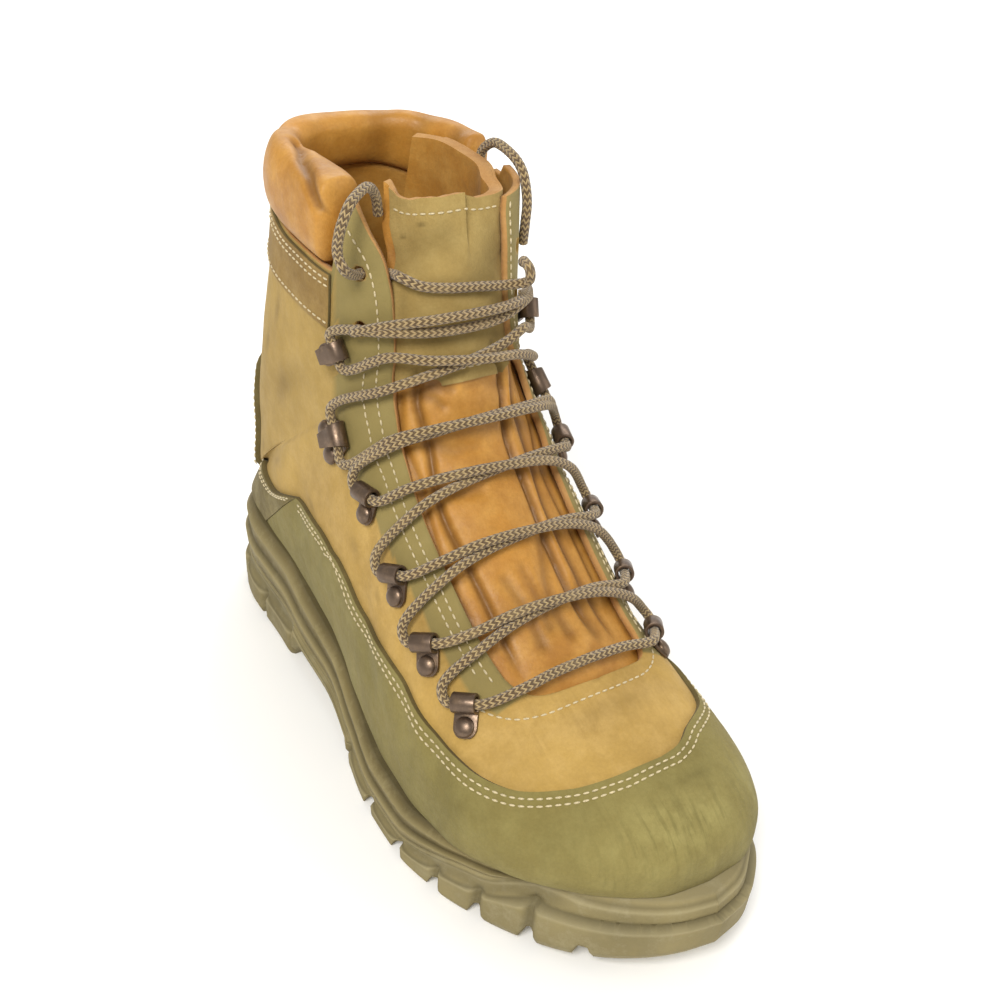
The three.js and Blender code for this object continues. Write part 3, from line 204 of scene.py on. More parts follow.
class Last:
    """The boot's skin. station counts sections from the toe; across is 0 on the ridge, 1 at the outer and
    -1 at the inner base."""

    def __init__(self, sizes):
        self.length = sizes.sole_length
        self.top = sizes.instep_height + sizes.shaft_rise
        fall = curve(*columns([(a * self.length, s * stack) for a, s, stack in SOLE_TOP], 0, 1))
        bases = [row[3] * self.length for row in TOE_SECTIONS + INSTEP_SECTIONS]
        self.knots = np.array([0, *bases[::-1], self.length])
        self.knot_heights = fall(self.knots)
        widths = ([(sizes.ball_width, sizes.ball_width)] * len(TOE_SECTIONS)
                  + [(sizes.shaft_width, sizes.heel_width)] * len(INSTEP_SECTIONS)
                  + [(sizes.shaft_width, sizes.shaft_width)] * len(SHAFT_SECTIONS))
        table = []
        for row, (width, foot) in zip(TOE_SECTIONS + INSTEP_SECTIONS + SHAFT_SECTIONS, widths):
            table.append((
                row[0] * self.length, row[1] * sizes.instep_height + row[2] * sizes.shaft_rise,
                row[3] * self.length, row[4], row[5] * width, row[6] * width, row[7] * width,
                row[8] * foot, row[9] * foot, row[10], row[11],
            ))
        names = ("ridge_along", "ridge_up", "base_along", "base_rise", "crown", "outer", "inner",
                 "outer_foot", "inner_foot", "widest", "squareness")
        spots = range(len(table))
        self.curves = {name: curve(spots, [row[i] for row in table]) for i, name in enumerate(names)}

    def sole_top(self, along):
        return np.interp(along, self.knots, self.knot_heights)

    def along(self, points):
        return self.length / 2 - points[..., 1] - CENTRE.y

    def place(self, along, lateral, up):
        return np.stack([-lateral - CENTRE.x, self.length / 2 - along - CENTRE.y, up], -1)

    def point(self, station, across):
        station, across = np.broadcast_arrays(np.asarray(station, float), np.asarray(across, float))
        at = {name: line(station) for name, line in self.curves.items()}
        outward = across >= 0
        wide = np.where(outward, at["outer"], at["inner"])
        foot = np.where(outward, at["outer_foot"], at["inner_foot"])
        turn = np.abs(across) * np.pi
        power = 2 / at["squareness"]
        upper = np.minimum(turn, np.pi / 2)
        upper_depth = at["widest"] * (1 - np.clip(np.cos(upper), 0, 1) ** power)
        upper_side = mix(at["crown"], wide, np.clip(np.sin(upper), 0, 1) ** power)
        closed = np.clip(station - SEAM_START + 1, 0, 1)
        drop = np.clip(np.sin(turn - np.pi / 2), 0, 1) ** mix(1, 2 / BACK_SQUARENESS, closed)
        shut = np.clip(1 - drop**BACK_SQUARENESS, 0, 1) ** (1 / BACK_SQUARENESS)
        lower_side = mix(foot, wide, mix(1 - drop * drop, shut, closed))
        near = turn < np.pi / 2
        depth = np.where(near, upper_depth, mix(at["widest"], 1, drop))
        side = np.where(near, upper_side, lower_side)
        base = self.sole_top(at["base_along"]) + CLEARANCE
        base = mix(base, self.top, np.maximum(at["base_rise"], 0))
        along = mix(at["ridge_along"], at["base_along"], depth)
        return self.place(along, side, mix(at["ridge_up"], base, depth))

    def side_normal(self, station, across, side):
        inward = np.clip(np.abs(across), NEAR, 1 - NEAR)
        around = np.clip(station, NEAR, TOP - NEAR)
        run = self.point(around + NEAR, side * inward) - self.point(around - NEAR, side * inward)
        outer = self.point(around, side * (inward + NEAR / 2))
        round_ = outer - self.point(around, side * (inward - NEAR / 2))
        return unit(np.cross(run, round_) * np.asarray(side, float)[..., None])

    def normal(self, station, across):
        station, across = np.broadcast_arrays(np.asarray(station, float), np.asarray(across, float))
        side = np.where(across < 0, -1.0, 1.0)
        own = self.side_normal(station, across, side)
        other = self.side_normal(station, across, -side)
        shared = (station <= 0) | (across == 0) | ((np.abs(across) >= 1) & (station >= SEAM_START))
        return np.where(shared[..., None], unit(own + other), own)

    def lifted(self, station, across, lift):
        lift = np.asarray(lift, float)
        point = self.point(station, across) + self.normal(station, across) * lift[..., None]
        point[..., 2] = np.maximum(point[..., 2], self.sole_top(self.along(point)) + CLEARANCE)
        return point

    def across_at(self, station, distance, side):
        at = {name: self.curves[name](station) for name in ("outer", "inner", "crown", "squareness")}
        half = np.abs(np.where(np.asarray(side) > 0, at["outer"], at["inner"]) - at["crown"])
        share = np.clip(distance / np.maximum(half, MM), 0, 0.95)
        return side * np.arcsin(share ** (at["squareness"] / 2)) / np.pi

    def station_at(self, across, height):
        low = np.full(np.shape(across), SEAM_START - 5.0)
        high = np.full(np.shape(across), float(TOP))
        for _ in range(22):
            middle = (low + high) / 2
            under = self.point(middle, across)[..., 2] < height
            low, high = np.where(under, middle, low), np.where(under, high, middle)
        return high


# Pieces as meshes


def finish_mesh(mesh, smooth_angle=50):
    mesh.shade_smooth()
    mesh.set_sharp_from_angle(angle=math.radians(smooth_angle))
    mesh.update()


def make_object(name, vertices, faces, materials=(), slots=None, values=None, smooth_angle=50):
    """A mesh object at the origin. values holds a float for each vertex, by attribute name."""
    mesh = bpy.data.meshes.new(name)
    mesh.from_pydata([tuple(v) for v in vertices], [], faces)
    for material in materials:
        mesh.materials.append(material)
    if slots is not None:
        mesh.polygons.foreach_set("material_index", slots)
    for key, value in (values or {}).items():
        attribute = mesh.attributes.new(key, "FLOAT", "POINT")
        attribute.data.foreach_set("value", np.asarray(value, np.float32).ravel())
    finish_mesh(mesh, smooth_angle)
    made = bpy.data.objects.new(name, mesh)
    bpy.context.scene.collection.objects.link(made)
    return made


def outward(made):
    """Turns the faces of a closed mesh to point out."""
    work = bmesh.new()
    work.from_mesh(made.data)
    if work.calc_volume(signed=True) < 0:
        bmesh.ops.reverse_faces(work, faces=work.faces)
    work.to_mesh(made.data)
    work.free()
    return made


def settle(made):
    """Applies what modifiers the object has and removes them."""
    evaluated = made.evaluated_get(bpy.context.evaluated_depsgraph_get())
    result = bpy.data.meshes.new_from_object(evaluated)
    made.modifiers.clear()
    old, made.data = made.data, result
    bpy.data.meshes.remove(old)
    result.name = made.name
    result.validate()
    return made


def bevelled(made, width, segments=2, angle=50):
    bevel = made.modifiers.new("Edge", "BEVEL")
    bevel.width = width
    bevel.segments = segments
    bevel.limit_method = "ANGLE"
    bevel.angle_limit = math.radians(angle)
    bevel.use_clamp_overlap = True
    settle(made)
    finish_mesh(made.data, angle)
    return made


def wall(name, top, bottom, materials, keep=None, values=None):
    """Two matching grids of points become one closed wall: outer face, inner face and rims. keep tells for
    each cell whether it is there."""
    rows, count = top.shape[:2]
    rounded = np.round(top.reshape(-1, 3), 6)
    _, first, index = np.unique(rounded, axis=0, return_index=True, return_inverse=True)
    index = index.reshape(rows, count)
    size = len(first)
    quads = np.stack([index[:-1, :-1], index[1:, :-1], index[1:, 1:], index[:-1, 1:]], -1)
    if keep is not None:
        quads = quads[keep]
    quads = quads.reshape(-1, 4)
    faces, slots, edges = [], [], {}
    for quad in quads.tolist():
        ring = [v for i, v in enumerate(quad) if v != quad[i - 1]]
        if len(set(ring)) < 3:
            continue
        faces.append(ring)
        slots.append(0)
        faces.append([v + size for v in reversed(ring)])
        slots.append(1)
        for a, b in zip(ring, ring[1:] + ring[:1]):
            if edges.pop((b, a), None) is None:
                edges[(a, b)] = True
    for a, b in edges:
        faces.append([b, a, a + size, b + size])
        slots.append(2)
    vertices = np.concatenate([top.reshape(-1, 3)[first], bottom.reshape(-1, 3)[first]])
    doubled = {
        key: np.tile(np.asarray(value, float).reshape(-1)[first], 2)
        for key, value in (values or {}).items()}
    made = make_object(name, vertices, faces, materials, slots, doubled)
    return outward(made)


def ringed(name, rings, materials, closed=False, values=None, smooth_angle=60):
    """Rings of points, an array of ring by point, become a tube, capped unless it closes on itself."""
    count, around = rings.shape[:2]
    faces = []
    for i in range(count if closed else count - 1):
        a, b = i * around, ((i + 1) % count) * around
        faces += [[a + j, b + j, b + (j + 1) % around, a + (j + 1) % around] for j in range(around)]
    if not closed:
        faces.append(list(range(around)))
        faces.append([(count - 1) * around + j for j in reversed(range(around))])
    made = make_object(name, rings.reshape(-1, 3), faces, materials, None, values, smooth_angle)
    return outward(made)


def join(name, pieces):
    """Several objects become one."""
    work = bmesh.new()
    for piece in pieces:
        work.from_mesh(piece.data)
    first = pieces[0]
    mesh = bpy.data.meshes.new(name)
    for material in first.data.materials:
        mesh.materials.append(material)
    work.to_mesh(mesh)
    work.free()
    for piece in pieces:
        bpy.data.objects.remove(piece)
    made = bpy.data.objects.new(name, mesh)
    bpy.context.scene.collection.objects.link(made)
    return made


def settle_piece(made, replaced=()):
    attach(made, "root")
    if replaced:
        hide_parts(*replaced)
    return made


# Materials


class Shader:
    """A short way to build one material's nodes."""

    def __init__(self, name, **fixed):
        self.material = bpy.data.materials.new(name)
        self.material.use_nodes = True
        self.tree = self.material.node_tree
        self.surface = self.tree.nodes["Principled BSDF"]
        for socket, value in fixed.items():
            self.surface.inputs[socket.replace("_", " ")].default_value = value
        self.place = self.add("ShaderNodeTexCoord").outputs["Object"]

    def add(self, kind, inputs=None, **settings):
        made = self.tree.nodes.new(kind)
        for key, value in settings.items():
            setattr(made, key, value)
        for key, value in (inputs or {}).items():
            if isinstance(value, bpy.types.NodeSocket):
                self.tree.links.new(value, made.inputs[key])
            else:
                made.inputs[key].default_value = value
        return made

    def noise(self, scale, detail=4, roughness=0.6, stretch=None):
        vector = self.place
        if stretch:
            vector = self.add("ShaderNodeMapping", {"Vector": vector, "Scale": stretch}).outputs[0]
        inputs = {"Vector": vector, "Scale": scale, "Detail": detail, "Roughness": roughness}
        return self.add("ShaderNodeTexNoise", inputs).outputs["Fac"]

    def value(self, name):
        return self.add("ShaderNodeAttribute", attribute_name=name).outputs["Fac"]

    def fit(self, value, low, high, to_low=0.0, to_high=1.0):
        inputs = {"Value": value, "From Min": low, "From Max": high, "To Min": to_low, "To Max": to_high}
        return self.add("ShaderNodeMapRange", inputs).outputs["Result"]

    def math(self, operation, a, b=0.0):
        return self.add("ShaderNodeMath", {0: a, 1: b}, operation=operation).outputs[0]

    def blend(self, a, b, share, mode="MIX"):
        made = self.add("ShaderNodeMix", data_type="RGBA", blend_type=mode)
        for socket, value in (("Factor", share), ("A", a), ("B", b)):
            target = next(
                s for s in made.inputs
                if s.name == socket and (s.type == "RGBA") == (socket != "Factor"))
            if isinstance(value, bpy.types.NodeSocket):
                self.tree.links.new(value, target)
            else:
                target.default_value = value
        return next(s for s in made.outputs if s.type == "RGBA")

    def colour(self, value):
        self.tree.links.new(value, self.surface.inputs["Base Color"])

    def rough(self, value):
        self.tree.links.new(value, self.surface.inputs["Roughness"])

    def relief(self, *layers):
        """Each layer is a height, its strength and its depth in metres."""
        normal = None
        for height, strength, distance in layers:
            inputs = {"Height": height, "Strength": strength, "Distance": distance}
            if normal is not None:
                inputs["Normal"] = normal
            normal = self.add("ShaderNodeBump", inputs).outputs["Normal"]
        self.tree.links.new(normal, self.surface.inputs["Normal"])


def rgba(value, gain=1.0):
    return (*(min(1.0, channel * gain) for channel in value), 1.0)


def leather(name, base, dark, light, roughness, grain, mottle=0.5, sheen=0.04, gloss=0.3, second=None):
    """Leather with a mottled colour, a fine grain, the piece's own worn and soiled places, and painted shade
    in its creases where the piece gives it.
    """
    shader = Shader(
        name, Roughness=roughness, Sheen_Weight=sheen, Sheen_Roughness=0.5, Specular_IOR_Level=gloss)
    broad = shader.fit(shader.noise(22, 5, 0.65), 0.35, 0.7)
    patch = shader.fit(shader.noise(75, 4, 0.7), 0.42, 0.68)
    tone = shader.blend(rgba(base), rgba(dark), shader.math("MULTIPLY", broad, mottle))
    tone = shader.blend(tone, rgba(light), shader.math("MULTIPLY", patch, mottle * 0.7))
    speck = shader.fit(shader.noise(900, 2, 0.5), 0.35, 0.75)
    tone = shader.blend(tone, rgba(dark, 0.8), shader.math("MULTIPLY", speck, 0.16))
    if second:
        weave = shader.blend(rgba(second), rgba(second, 0.72), shader.math("MULTIPLY", broad, 0.8))
        tone = shader.blend(tone, weave, shader.value("olive"))
    scuffs = shader.fit(shader.noise(60, 6, 0.75, (1, 1, 0.35)), 0.4, 0.62, 0.15, 1)
    worn = shader.value("wear")
    tone = shader.blend(tone, rgba(light, 1.2), shader.math("MULTIPLY", scuffs, worn))
    scratches = shader.fit(shader.noise(520, 3, 0.6, (1, 0.1, 0.1)), 0.5, 0.66, 0, 0.7)
    tone = shader.blend(tone, rgba(dark, 1.1), shader.math("MULTIPLY", scratches, worn))
    # Darkened by the dirt attribute: the soiled spots of the quarters and rand, and painted shade in the
    # collar's creases and the tongue's folds.
    tone = shader.blend(tone, rgba(dark, 0.45), shader.value("dirt"))
    shader.colour(tone)
    shader.rough(shader.fit(shader.noise(160, 3), 0.3, 0.7, roughness - 0.08, roughness + 0.1))
    shader.relief(
        (shader.noise(1500, 3, 0.6), 0.35 * grain, 0.0004),
        (shader.noise(230, 4, 0.6), 0.3 * grain, 0.0012))
    return shader.material


def metal_finish(colours):
    shader = Shader("Dark metal", Metallic=0.85, Roughness=0.38)
    worn = shader.fit(shader.noise(240, 4, 0.7), 0.5, 0.72)
    tone = shader.blend(rgba(colours.metal), rgba((0.3, 0.2, 0.12)), shader.math("MULTIPLY", worn, 0.55))
    shader.colour(tone)
    shader.rough(shader.fit(shader.noise(420, 3), 0.3, 0.7, 0.28, 0.52))
    shader.relief((shader.noise(700, 3), 0.2, 0.0003))
    return shader.material


def rubber_finish(name, tone, dust, roughness):
    shader = Shader(name, Roughness=roughness, Specular_IOR_Level=0.35)
    broad = shader.fit(shader.noise(30, 5, 0.65), 0.38, 0.7)
    mix_tone = shader.blend(rgba(tone), rgba(tone, 0.62), broad)
    powder = shader.fit(shader.noise(120, 5, 0.75), 0.5, 0.75)
    mix_tone = shader.blend(mix_tone, rgba(dust), shader.math("MULTIPLY", powder, 0.55))
    # Lightened by the wear attribute: painted highlights on the ridges and edges, and real rubbing at the
    # ground edge.
    mix_tone = shader.blend(mix_tone, rgba(dust, 1.15), shader.value("wear"))
    # Darkened by the dirt attribute: painted shade in the grooves, between the lugs and under the rand.
    mix_tone = shader.blend(mix_tone, rgba(tone, 0.3), shader.value("dirt"))
    shader.colour(mix_tone)
    shader.rough(shader.fit(shader.noise(90, 3), 0.3, 0.7, roughness - 0.1, min(1, roughness + 0.12)))
    shader.relief((shader.noise(1100, 3), 0.25, 0.0004), (shader.noise(160, 4), 0.2, 0.001))
    return shader.material


def braid_finish(colours):
    """Two yarns plaited round the cord: diagonals of the tube's own UV, one unit a turn round and along."""
    shader = Shader("Lace braid", Roughness=0.8, Sheen_Weight=0.3, Specular_IOR_Level=0.2)
    parts = shader.add("ShaderNodeSeparateXYZ", {0: shader.add("ShaderNodeUVMap", uv_map="UVMap").outputs[0]})
    around, along = parts.outputs[0], parts.outputs[1]

    slant = shader.math("PINGPONG", shader.math("MULTIPLY", around, 6.0), 0.5)
    phase = shader.math("ADD", along, shader.math("MULTIPLY", slant, 1.2))
    yarn = shader.math("SINE", shader.math("MULTIPLY", phase, 2 * math.pi))
    groove = shader.math("ABSOLUTE", yarn)
    side = shader.fit(yarn, -0.25, 0.25)
    tone = shader.blend(rgba(colours.braid_light), rgba(colours.braid_dark), side)
    # Painted shade in the grooves between the yarns and along the partings of the plaits.
    tone = shader.blend(tone, rgba(colours.braid_dark, 0.6), shader.fit(groove, 0.35, 0.0, 0, 0.8))
    tone = shader.blend(tone, rgba(colours.braid_dark, 0.5), shader.fit(slant, 0.08, 0.0, 0, 0.6))
    faded = shader.fit(shader.noise(90, 3), 0.5, 0.75, 0, 0.25)
    tone = shader.blend(tone, rgba(colours.braid_light, 1.15), faded)
    shader.colour(tone)
    shader.relief((groove, 0.7, 0.0006), (shader.noise(2200, 2), 0.3, 0.0002))
    return shader.material


def thread_finish(colours):
    shader = Shader("Thread", Roughness=0.75, Sheen_Weight=0.3)
    twist = shader.noise(1800, 2)
    shader.colour(shader.blend(rgba(colours.thread), rgba(colours.thread, 0.6), shader.fit(twist, 0.4, 0.7)))
    shader.relief((twist, 0.4, 0.0003))
    return shader.material


def floor_finish():
    shader = Shader("Studio floor", Roughness=0.9)
    tone = shader.fit(shader.noise(3, 2), 0, 1, 0.95, 0.97)
    shader.colour(tone)
    return shader.material


class Finishes:
    """Every material, made once."""

    def __init__(self, colours):
        tan, shade = colours.nubuck, colours.nubuck_dark
        olive = tuple(colours.facing)
        self.nubuck = leather("Nubuck", tan, shade, (0.6, 0.4, 0.14), 0.82, 1.0, 0.62, second=olive)
        self.band = leather(
            "Band nubuck", (0.29, 0.18, 0.05), (0.17, 0.1, 0.028), (0.4, 0.27, 0.09), 0.82, 1.1, 0.7)
        self.suede = leather(
            "Rand suede", colours.suede, (0.13, 0.11, 0.035), colours.suede_light, 0.92, 1.5, 0.5, 0.06, 0.15)
        self.facing = leather(
            "Tongue suede", (0.38, 0.265, 0.09), (0.22, 0.15, 0.045), (0.48, 0.36, 0.14),
            0.92, 1.3, 0.6, 0.06, 0.15)
        self.counter = leather(
            "Counter suede", colours.counter, (0.1, 0.075, 0.03), (0.34, 0.28, 0.12),
            0.9, 1.4, 0.7, 0.06, 0.18)
        self.collar = leather(
            "Collar leather", colours.collar, (0.27, 0.11, 0.016), (0.66, 0.36, 0.08),
            0.5, 0.8, 0.7, 0.04, 0.4)
        self.lining = leather(
            "Lining leather", colours.lining, (0.26, 0.12, 0.022), (0.6, 0.35, 0.09),
            0.65, 0.8, 0.7, 0.04, 0.3)
        self.raw = leather(
            "Raw edge", colours.raw_edge, (0.32, 0.15, 0.05), (0.62, 0.38, 0.16), 0.9, 1.6, 0.7, 0.05, 0.15)
        self.edge = leather(
            "Dyed edge", (0.13, 0.1, 0.035), (0.07, 0.05, 0.018), (0.2, 0.16, 0.06), 0.9, 1.3)
        self.foam = rubber_finish("Midsole foam", colours.foam, (0.32, 0.265, 0.125), 0.72)
        self.rubber = rubber_finish("Outsole rubber", colours.rubber, (0.38, 0.33, 0.19), 0.78)
        self.metal = metal_finish(colours)
        self.thread = thread_finish(colours)
        self.braid = braid_finish(colours)


class Shop:
    """What the operators share: the sizes, the last and the materials, made when first asked for."""

    kept = {}

    @classmethod
    def sizes(cls):
        return bpy.context.scene.boot_sizes

    @classmethod
    def last(cls):
        if "last" not in cls.kept:
            cls.kept["last"] = Last(cls.sizes())
        return cls.kept["last"]

    @classmethod
    def finishes(cls):
        if "finishes" not in cls.kept:
            cls.kept["finishes"] = Finishes(bpy.context.scene.boot_colours)
        return cls.kept["finishes"]


# The leather's relief: troughs and swellings, each a run of (station, across) on the skin


def distance_to(points, run):
    """Each point's distance from a run of points in space."""
    best = np.full(points.shape[:-1], np.inf)
    for a, b in zip(run[:-1], run[1:]):
        edge = b - a
        share = np.clip(((points - a) @ edge) / max(edge @ edge, 1e-12), 0, 1)
        best = np.minimum(best, np.linalg.norm(points - (a + share[..., None] * edge), axis=-1))
    return best


# Width and depth in millimetres, then the run. A negative depth swells.
CREASES = (
    (5, 0.9, ((5.5, 0.42), (6.2, 0.33), (6.5, 0.24))),
    (5, 0.8, ((6.4, 0.45), (7.0, 0.38), (7.3, 0.3))),
    (6, 0.8, ((7.6, 0.5), (8.6, 0.44), (9.3, 0.36))),
    (8, 1.0, ((10.5, 0.62), (11.6, 0.53), (12.4, 0.44))),
    (8, -0.8, ((11.6, 0.62), (12.6, 0.52), (13.2, 0.43))),
    (7, 1.0, ((12.6, 0.66), (13.8, 0.56), (14.4, 0.44))),
    (8, 0.8, ((15.2, 0.72), (16, 0.6), (16.2, 0.48))),
    (5, 0.8, ((5.5, -0.4), (6.2, -0.34), (6.4, -0.26))),
    (6, 0.8, ((7.6, -0.48), (8.6, -0.42), (9.3, -0.34))),
    (8, 1.0, ((11.5, -0.6), (12.8, -0.5), (13.4, -0.4))),
    (7, 0.9, ((13.8, -0.66), (15, -0.56), (15.4, -0.44))),
)


class Relief:
    def __init__(self, last):
        self.rows = [
            (width * MM, depth * MM, last.point(*np.array(run).T)) for width, depth, run in CREASES
        ]

    def __call__(self, points):
        lift = np.zeros(points.shape[:-1])
        for width, depth, run in self.rows:
            lift -= depth * np.exp(-((distance_to(points, run) / width) ** 2))
        x, y, z = (points[..., k] / MM for k in range(3))
        lift += 0.22 * MM * np.sin(x / 9 + 1.3 * np.sin(z / 17)) * np.sin(y / 13 + z / 21 + 0.7)
        lift += 0.12 * MM * np.sin(y / 4.3 + 1.7 * np.sin(x / 7)) * np.sin(z / 5.1 + x / 8.3)
        return lift


def skin(last, station, across, lift):
    """The skin with its creases, at a lift above them."""
    if "relief" not in Shop.kept:
        Shop.kept["relief"] = Relief(last)
    return last.lifted(station, across, lift + Shop.kept["relief"](last.point(station, across)))


# The grid of the leather pieces

THROAT_STATION = 5.05
THROAT_HALF_WIDTH = 30 * MM
THROAT_SHAPE = (
    (THROAT_STATION, 0, 0), (5.12, 0.62, 0.62), (5.3, 0.86, 0.86), (5.7, 0.98, 0.98), (6.5, 1, 1),
    (10, 1, 1),
    (12, 0.98, 0.92), (14, 0.92, 0.76), (16, 0.88, 0.64), (17.5, 0.9, 0.58), (19, 0.98, 0.56),
    (20, 1.08, 0.56), (TOP, 1.17, 0.6),
)
OUTER_TAB = 0.355
INNER_TAB = 0.47
TOE_TAB = 0.4
TAB_STEP = 0.02
TAB_CORNER = 5 * MM
TAB_HOLE_RADIUS = 2.8 * MM
TAB_HOLES = ((17.05, 0.285, -0.19), (18.7, 0.29, -0.2))
COLLAR_SEAM_SHARE = 0.92
COLLAR_SEAM_DROP = 11 * MM
BAND_WIDTH = 22 * MM

throat_shares = {
    1: curve(*columns(THROAT_SHAPE, 0, 1)),
    -1: curve(*columns(THROAT_SHAPE, 0, 2)),
}


def throat_edge(last, station, side):
    station = np.asarray(station, float)
    edge = np.abs(last.across_at(station, throat_shares[side](station) * THROAT_HALF_WIDTH, side))
    return np.where(station <= THROAT_STATION, 0, edge)


def tab_edge(side, station=TOP):
    return mix(TOE_TAB, OUTER_TAB if side > 0 else INNER_TAB, smooth(station, 1, THROAT_STATION))


def seam_height(last, across):
    return COLLAR_SEAM_SHARE * last.top - COLLAR_SEAM_DROP * (1 - smooth(np.abs(across), 0.3, 1))


TAB_COLUMNS = 18
SIDE_COLUMNS = 62
LEATHER_ROWS = np.concatenate([
    np.linspace(0, 3, 26), np.linspace(3.1, CAP_STATION, 6), np.linspace(3.57, 3.9, 16),
    np.linspace(3.98, THROAT_STATION, 15),
    np.linspace(5.06, 5.7, 16), np.linspace(5.8, TAB_START, 120), np.linspace(TAB_START + 0.08, TOP, 44),
])


def grid_across(last, rows, side):
    """The columns of one side, from the throat's edge to the base, for each row."""
    rows = np.asarray(rows, float)[:, None]
    tab = tab_edge(side, rows)
    front = mix(throat_edge(last, rows, side), tab, np.linspace(0, 1, TAB_COLUMNS + 1))
    back = mix(tab + TAB_STEP, 1, np.linspace(0, 1, SIDE_COLUMNS + 1))
    return np.concatenate([front, back], 1)


def panel(name, rows, materials, outer, inner, start=None, stop=None, warp=None, values=None, spots=None):
    """A stretch of the skin on both sides, between two lifts. start and stop give its edges across; warp
    moves a row's station by its place across; values turns station and across into attributes."""
    last = Shop.last()
    rows = np.asarray(rows, float)
    sides = []
    for side in (1, -1):
        across = grid_across(last, np.clip(rows, 0, TOP) if spots is None else spots, side)
        if start is not None:
            across = np.maximum(across, np.reshape(start(rows, side), (-1, 1)))
        if stop is not None:
            across = np.minimum(across, np.reshape(stop(rows, side), (-1, 1)))
        sides.append(side * across)
    across = np.concatenate([sides[0][:, ::-1], sides[1]], 1)
    station = np.broadcast_to(rows[:, None], across.shape)
    if warp is not None:
        station = warp(station, across)
    keep = np.ones((across.shape[0] - 1, across.shape[1] - 1), bool)
    keep[:, sides[0].shape[1] - 1] = False
    given = values(station, across) if values else {}
    top = skin(last, station, across, np.full(across.shape, outer))
    bottom = skin(last, station, across, np.full(across.shape, inner))
    return wall(name, top, bottom, materials, keep, given)


def spots_at(station, across, table):
    """Soft spots at listed places: station, across, their half sizes and strength."""
    total = np.zeros(np.shape(station))
    for s, a, ds, da, strength in table:
        total = np.maximum(total, strength * bump(station, s, ds) * bump(across, a, da))
    return np.clip(total, 0, 1)


QUARTER_DIRT = (
    (16.3, 0.52, 0.5, 0.02, 0.5), (17.6, 0.6, 0.25, 0.012, 0.4), (18.2, 0.55, 0.3, 0.01, 0.45),
    (12.5, 0.6, 0.2, 0.02, 0.3), (14.6, 0.64, 0.25, 0.01, 0.4), (8.1, 0.4, 0.1, 0.006, 0.6),
    (4.6, 0.0, 0.2, 0.2, 0.2), (10.6, 0.53, 0.25, 0.01, 0.45), (9.2, 0.44, 0.3, 0.015, 0.3),
)
QUARTER_WEAR = (
    (4.7, 0.12, 0.5, 0.12, 0.35), (4.4, -0.1, 0.4, 0.1, 0.3), (7.5, 0.36, 1.4, 0.03, 0.3),
    (13.5, 0.5, 1.5, 0.05, 0.25),
)


FACING_WIDTH = 11 * MM
SHAFT_TINT = 0.3


def facing_share(station, across):
    """1 on the facings and tabs, and a little of it up the shaft."""
    last = Shop.last()
    strip = np.zeros(np.shape(across))
    for side in (1, -1):
        run = throat_shares[side](np.clip(station, 5.3, TOP)) * THROAT_HALF_WIDTH + FACING_WIDTH
        reach = np.abs(last.across_at(station, run, side))
        on = (np.abs(across) < reach) & (np.sign(across) == side) & (station > 5.3)
        tab = (np.abs(across) < tab_edge(side)) & (np.sign(across) == side) & (station > 15.6)
        strip = np.where(on | tab, 1.0, strip)
    return np.maximum(strip, SHAFT_TINT * smooth(station, 9, 14))


def quarter_values(station, across):
    return {
        "olive": facing_share(station, across),
        "wear": spots_at(station, across, QUARTER_WEAR),
        "dirt": spots_at(station, across, QUARTER_DIRT),
    }


def upper_warp(station, across):
    """Above the tabs' start each column runs to its own top: the tabs' corner, or the collar's seam."""
    last = Shop.last()
    edge = np.where(across > 0, OUTER_TAB, INNER_TAB)
    share = np.clip((station - TAB_START) / (TOP - TAB_START), 0, 1)
    reach = np.abs(across[-1])
    line = across[-1]
    corner = last.station_at(line, np.full(line.shape, last.top - TAB_CORNER))
    seam = last.station_at(line, seam_height(last, line))
    tops = np.where(reach < 0.9 * edge[-1], TOP, np.where(reach <= edge[-1] + 1e-6, corner, seam))
    return np.where(station > TAB_START, mix(TAB_START, tops[None, :], share), station)


class BOOT_OT_upper(bpy.types.Operator):
    """Makes the vamp, quarters and facing tabs as one leather wall"""

    bl_idname = "boot.upper"
    bl_label = "Upper"

    def execute(self, context):
        looks = Shop.finishes()
        last = Shop.last()
        made = panel(
            "upper_leather", LEATHER_ROWS, [looks.nubuck, looks.lining, looks.raw], 0.0, -Shop.sizes().wall,
            start=lambda rows, side: throat_edge(last, rows, side), warp=upper_warp, values=quarter_values)
        drills = []
        for station, outer, inner in TAB_HOLES:
            for across in (outer, inner):
                turns = np.linspace(0, 2 * np.pi, 24, endpoint=False)
                ring = np.stack([np.cos(turns), np.sin(turns), 0 * turns], -1) * TAB_HOLE_RADIUS
                drill = ringed("drill", np.array([ring + [0, 0, z] for z in (-6 * MM, 4 * MM)]), [])
                drill.data.transform(seat(last, station, across, 0))
                drills.append(drill)
        cut(made, drills)
        bevelled(made, 0.4 * MM)
        sealed(made)
        settle_piece(made, ["upper"])
        return {"FINISHED"}


# How far over the skin the overlays' backs lie.
HUG = 0.05 * MM
RAND_END = 11
OVERLAY_SEAM = 0.002
RAND_TOP = (
    (CAP_STATION, 0, 0), (3.6, 0.1, 0.04), (3.9, 0.22, 0.12), (4.4, 0.3, 0.26), (5.5, 0.36, 0.36),
    (6.9, 0.405, 0.405), (8.4, 0.48, 0.48), (9.5, 0.5, 0.5), (11, 0.58, 0.58),
)
COUNTER_TOP = (
    (RAND_END + OVERLAY_SEAM, 0.58), (11.6, 0.68), (12, 0.69), (13, 0.7), (14, 0.705), (15, 0.71),
    (16, 0.715),
    (17, 0.74), (17.4, 0.82), (17.6, 0.95),
)
rand_top = {1: curve(*columns(RAND_TOP, 0, 1)), -1: curve(*columns(RAND_TOP, 0, 2))}
counter_top = curve(*columns(COUNTER_TOP, 0, 1))

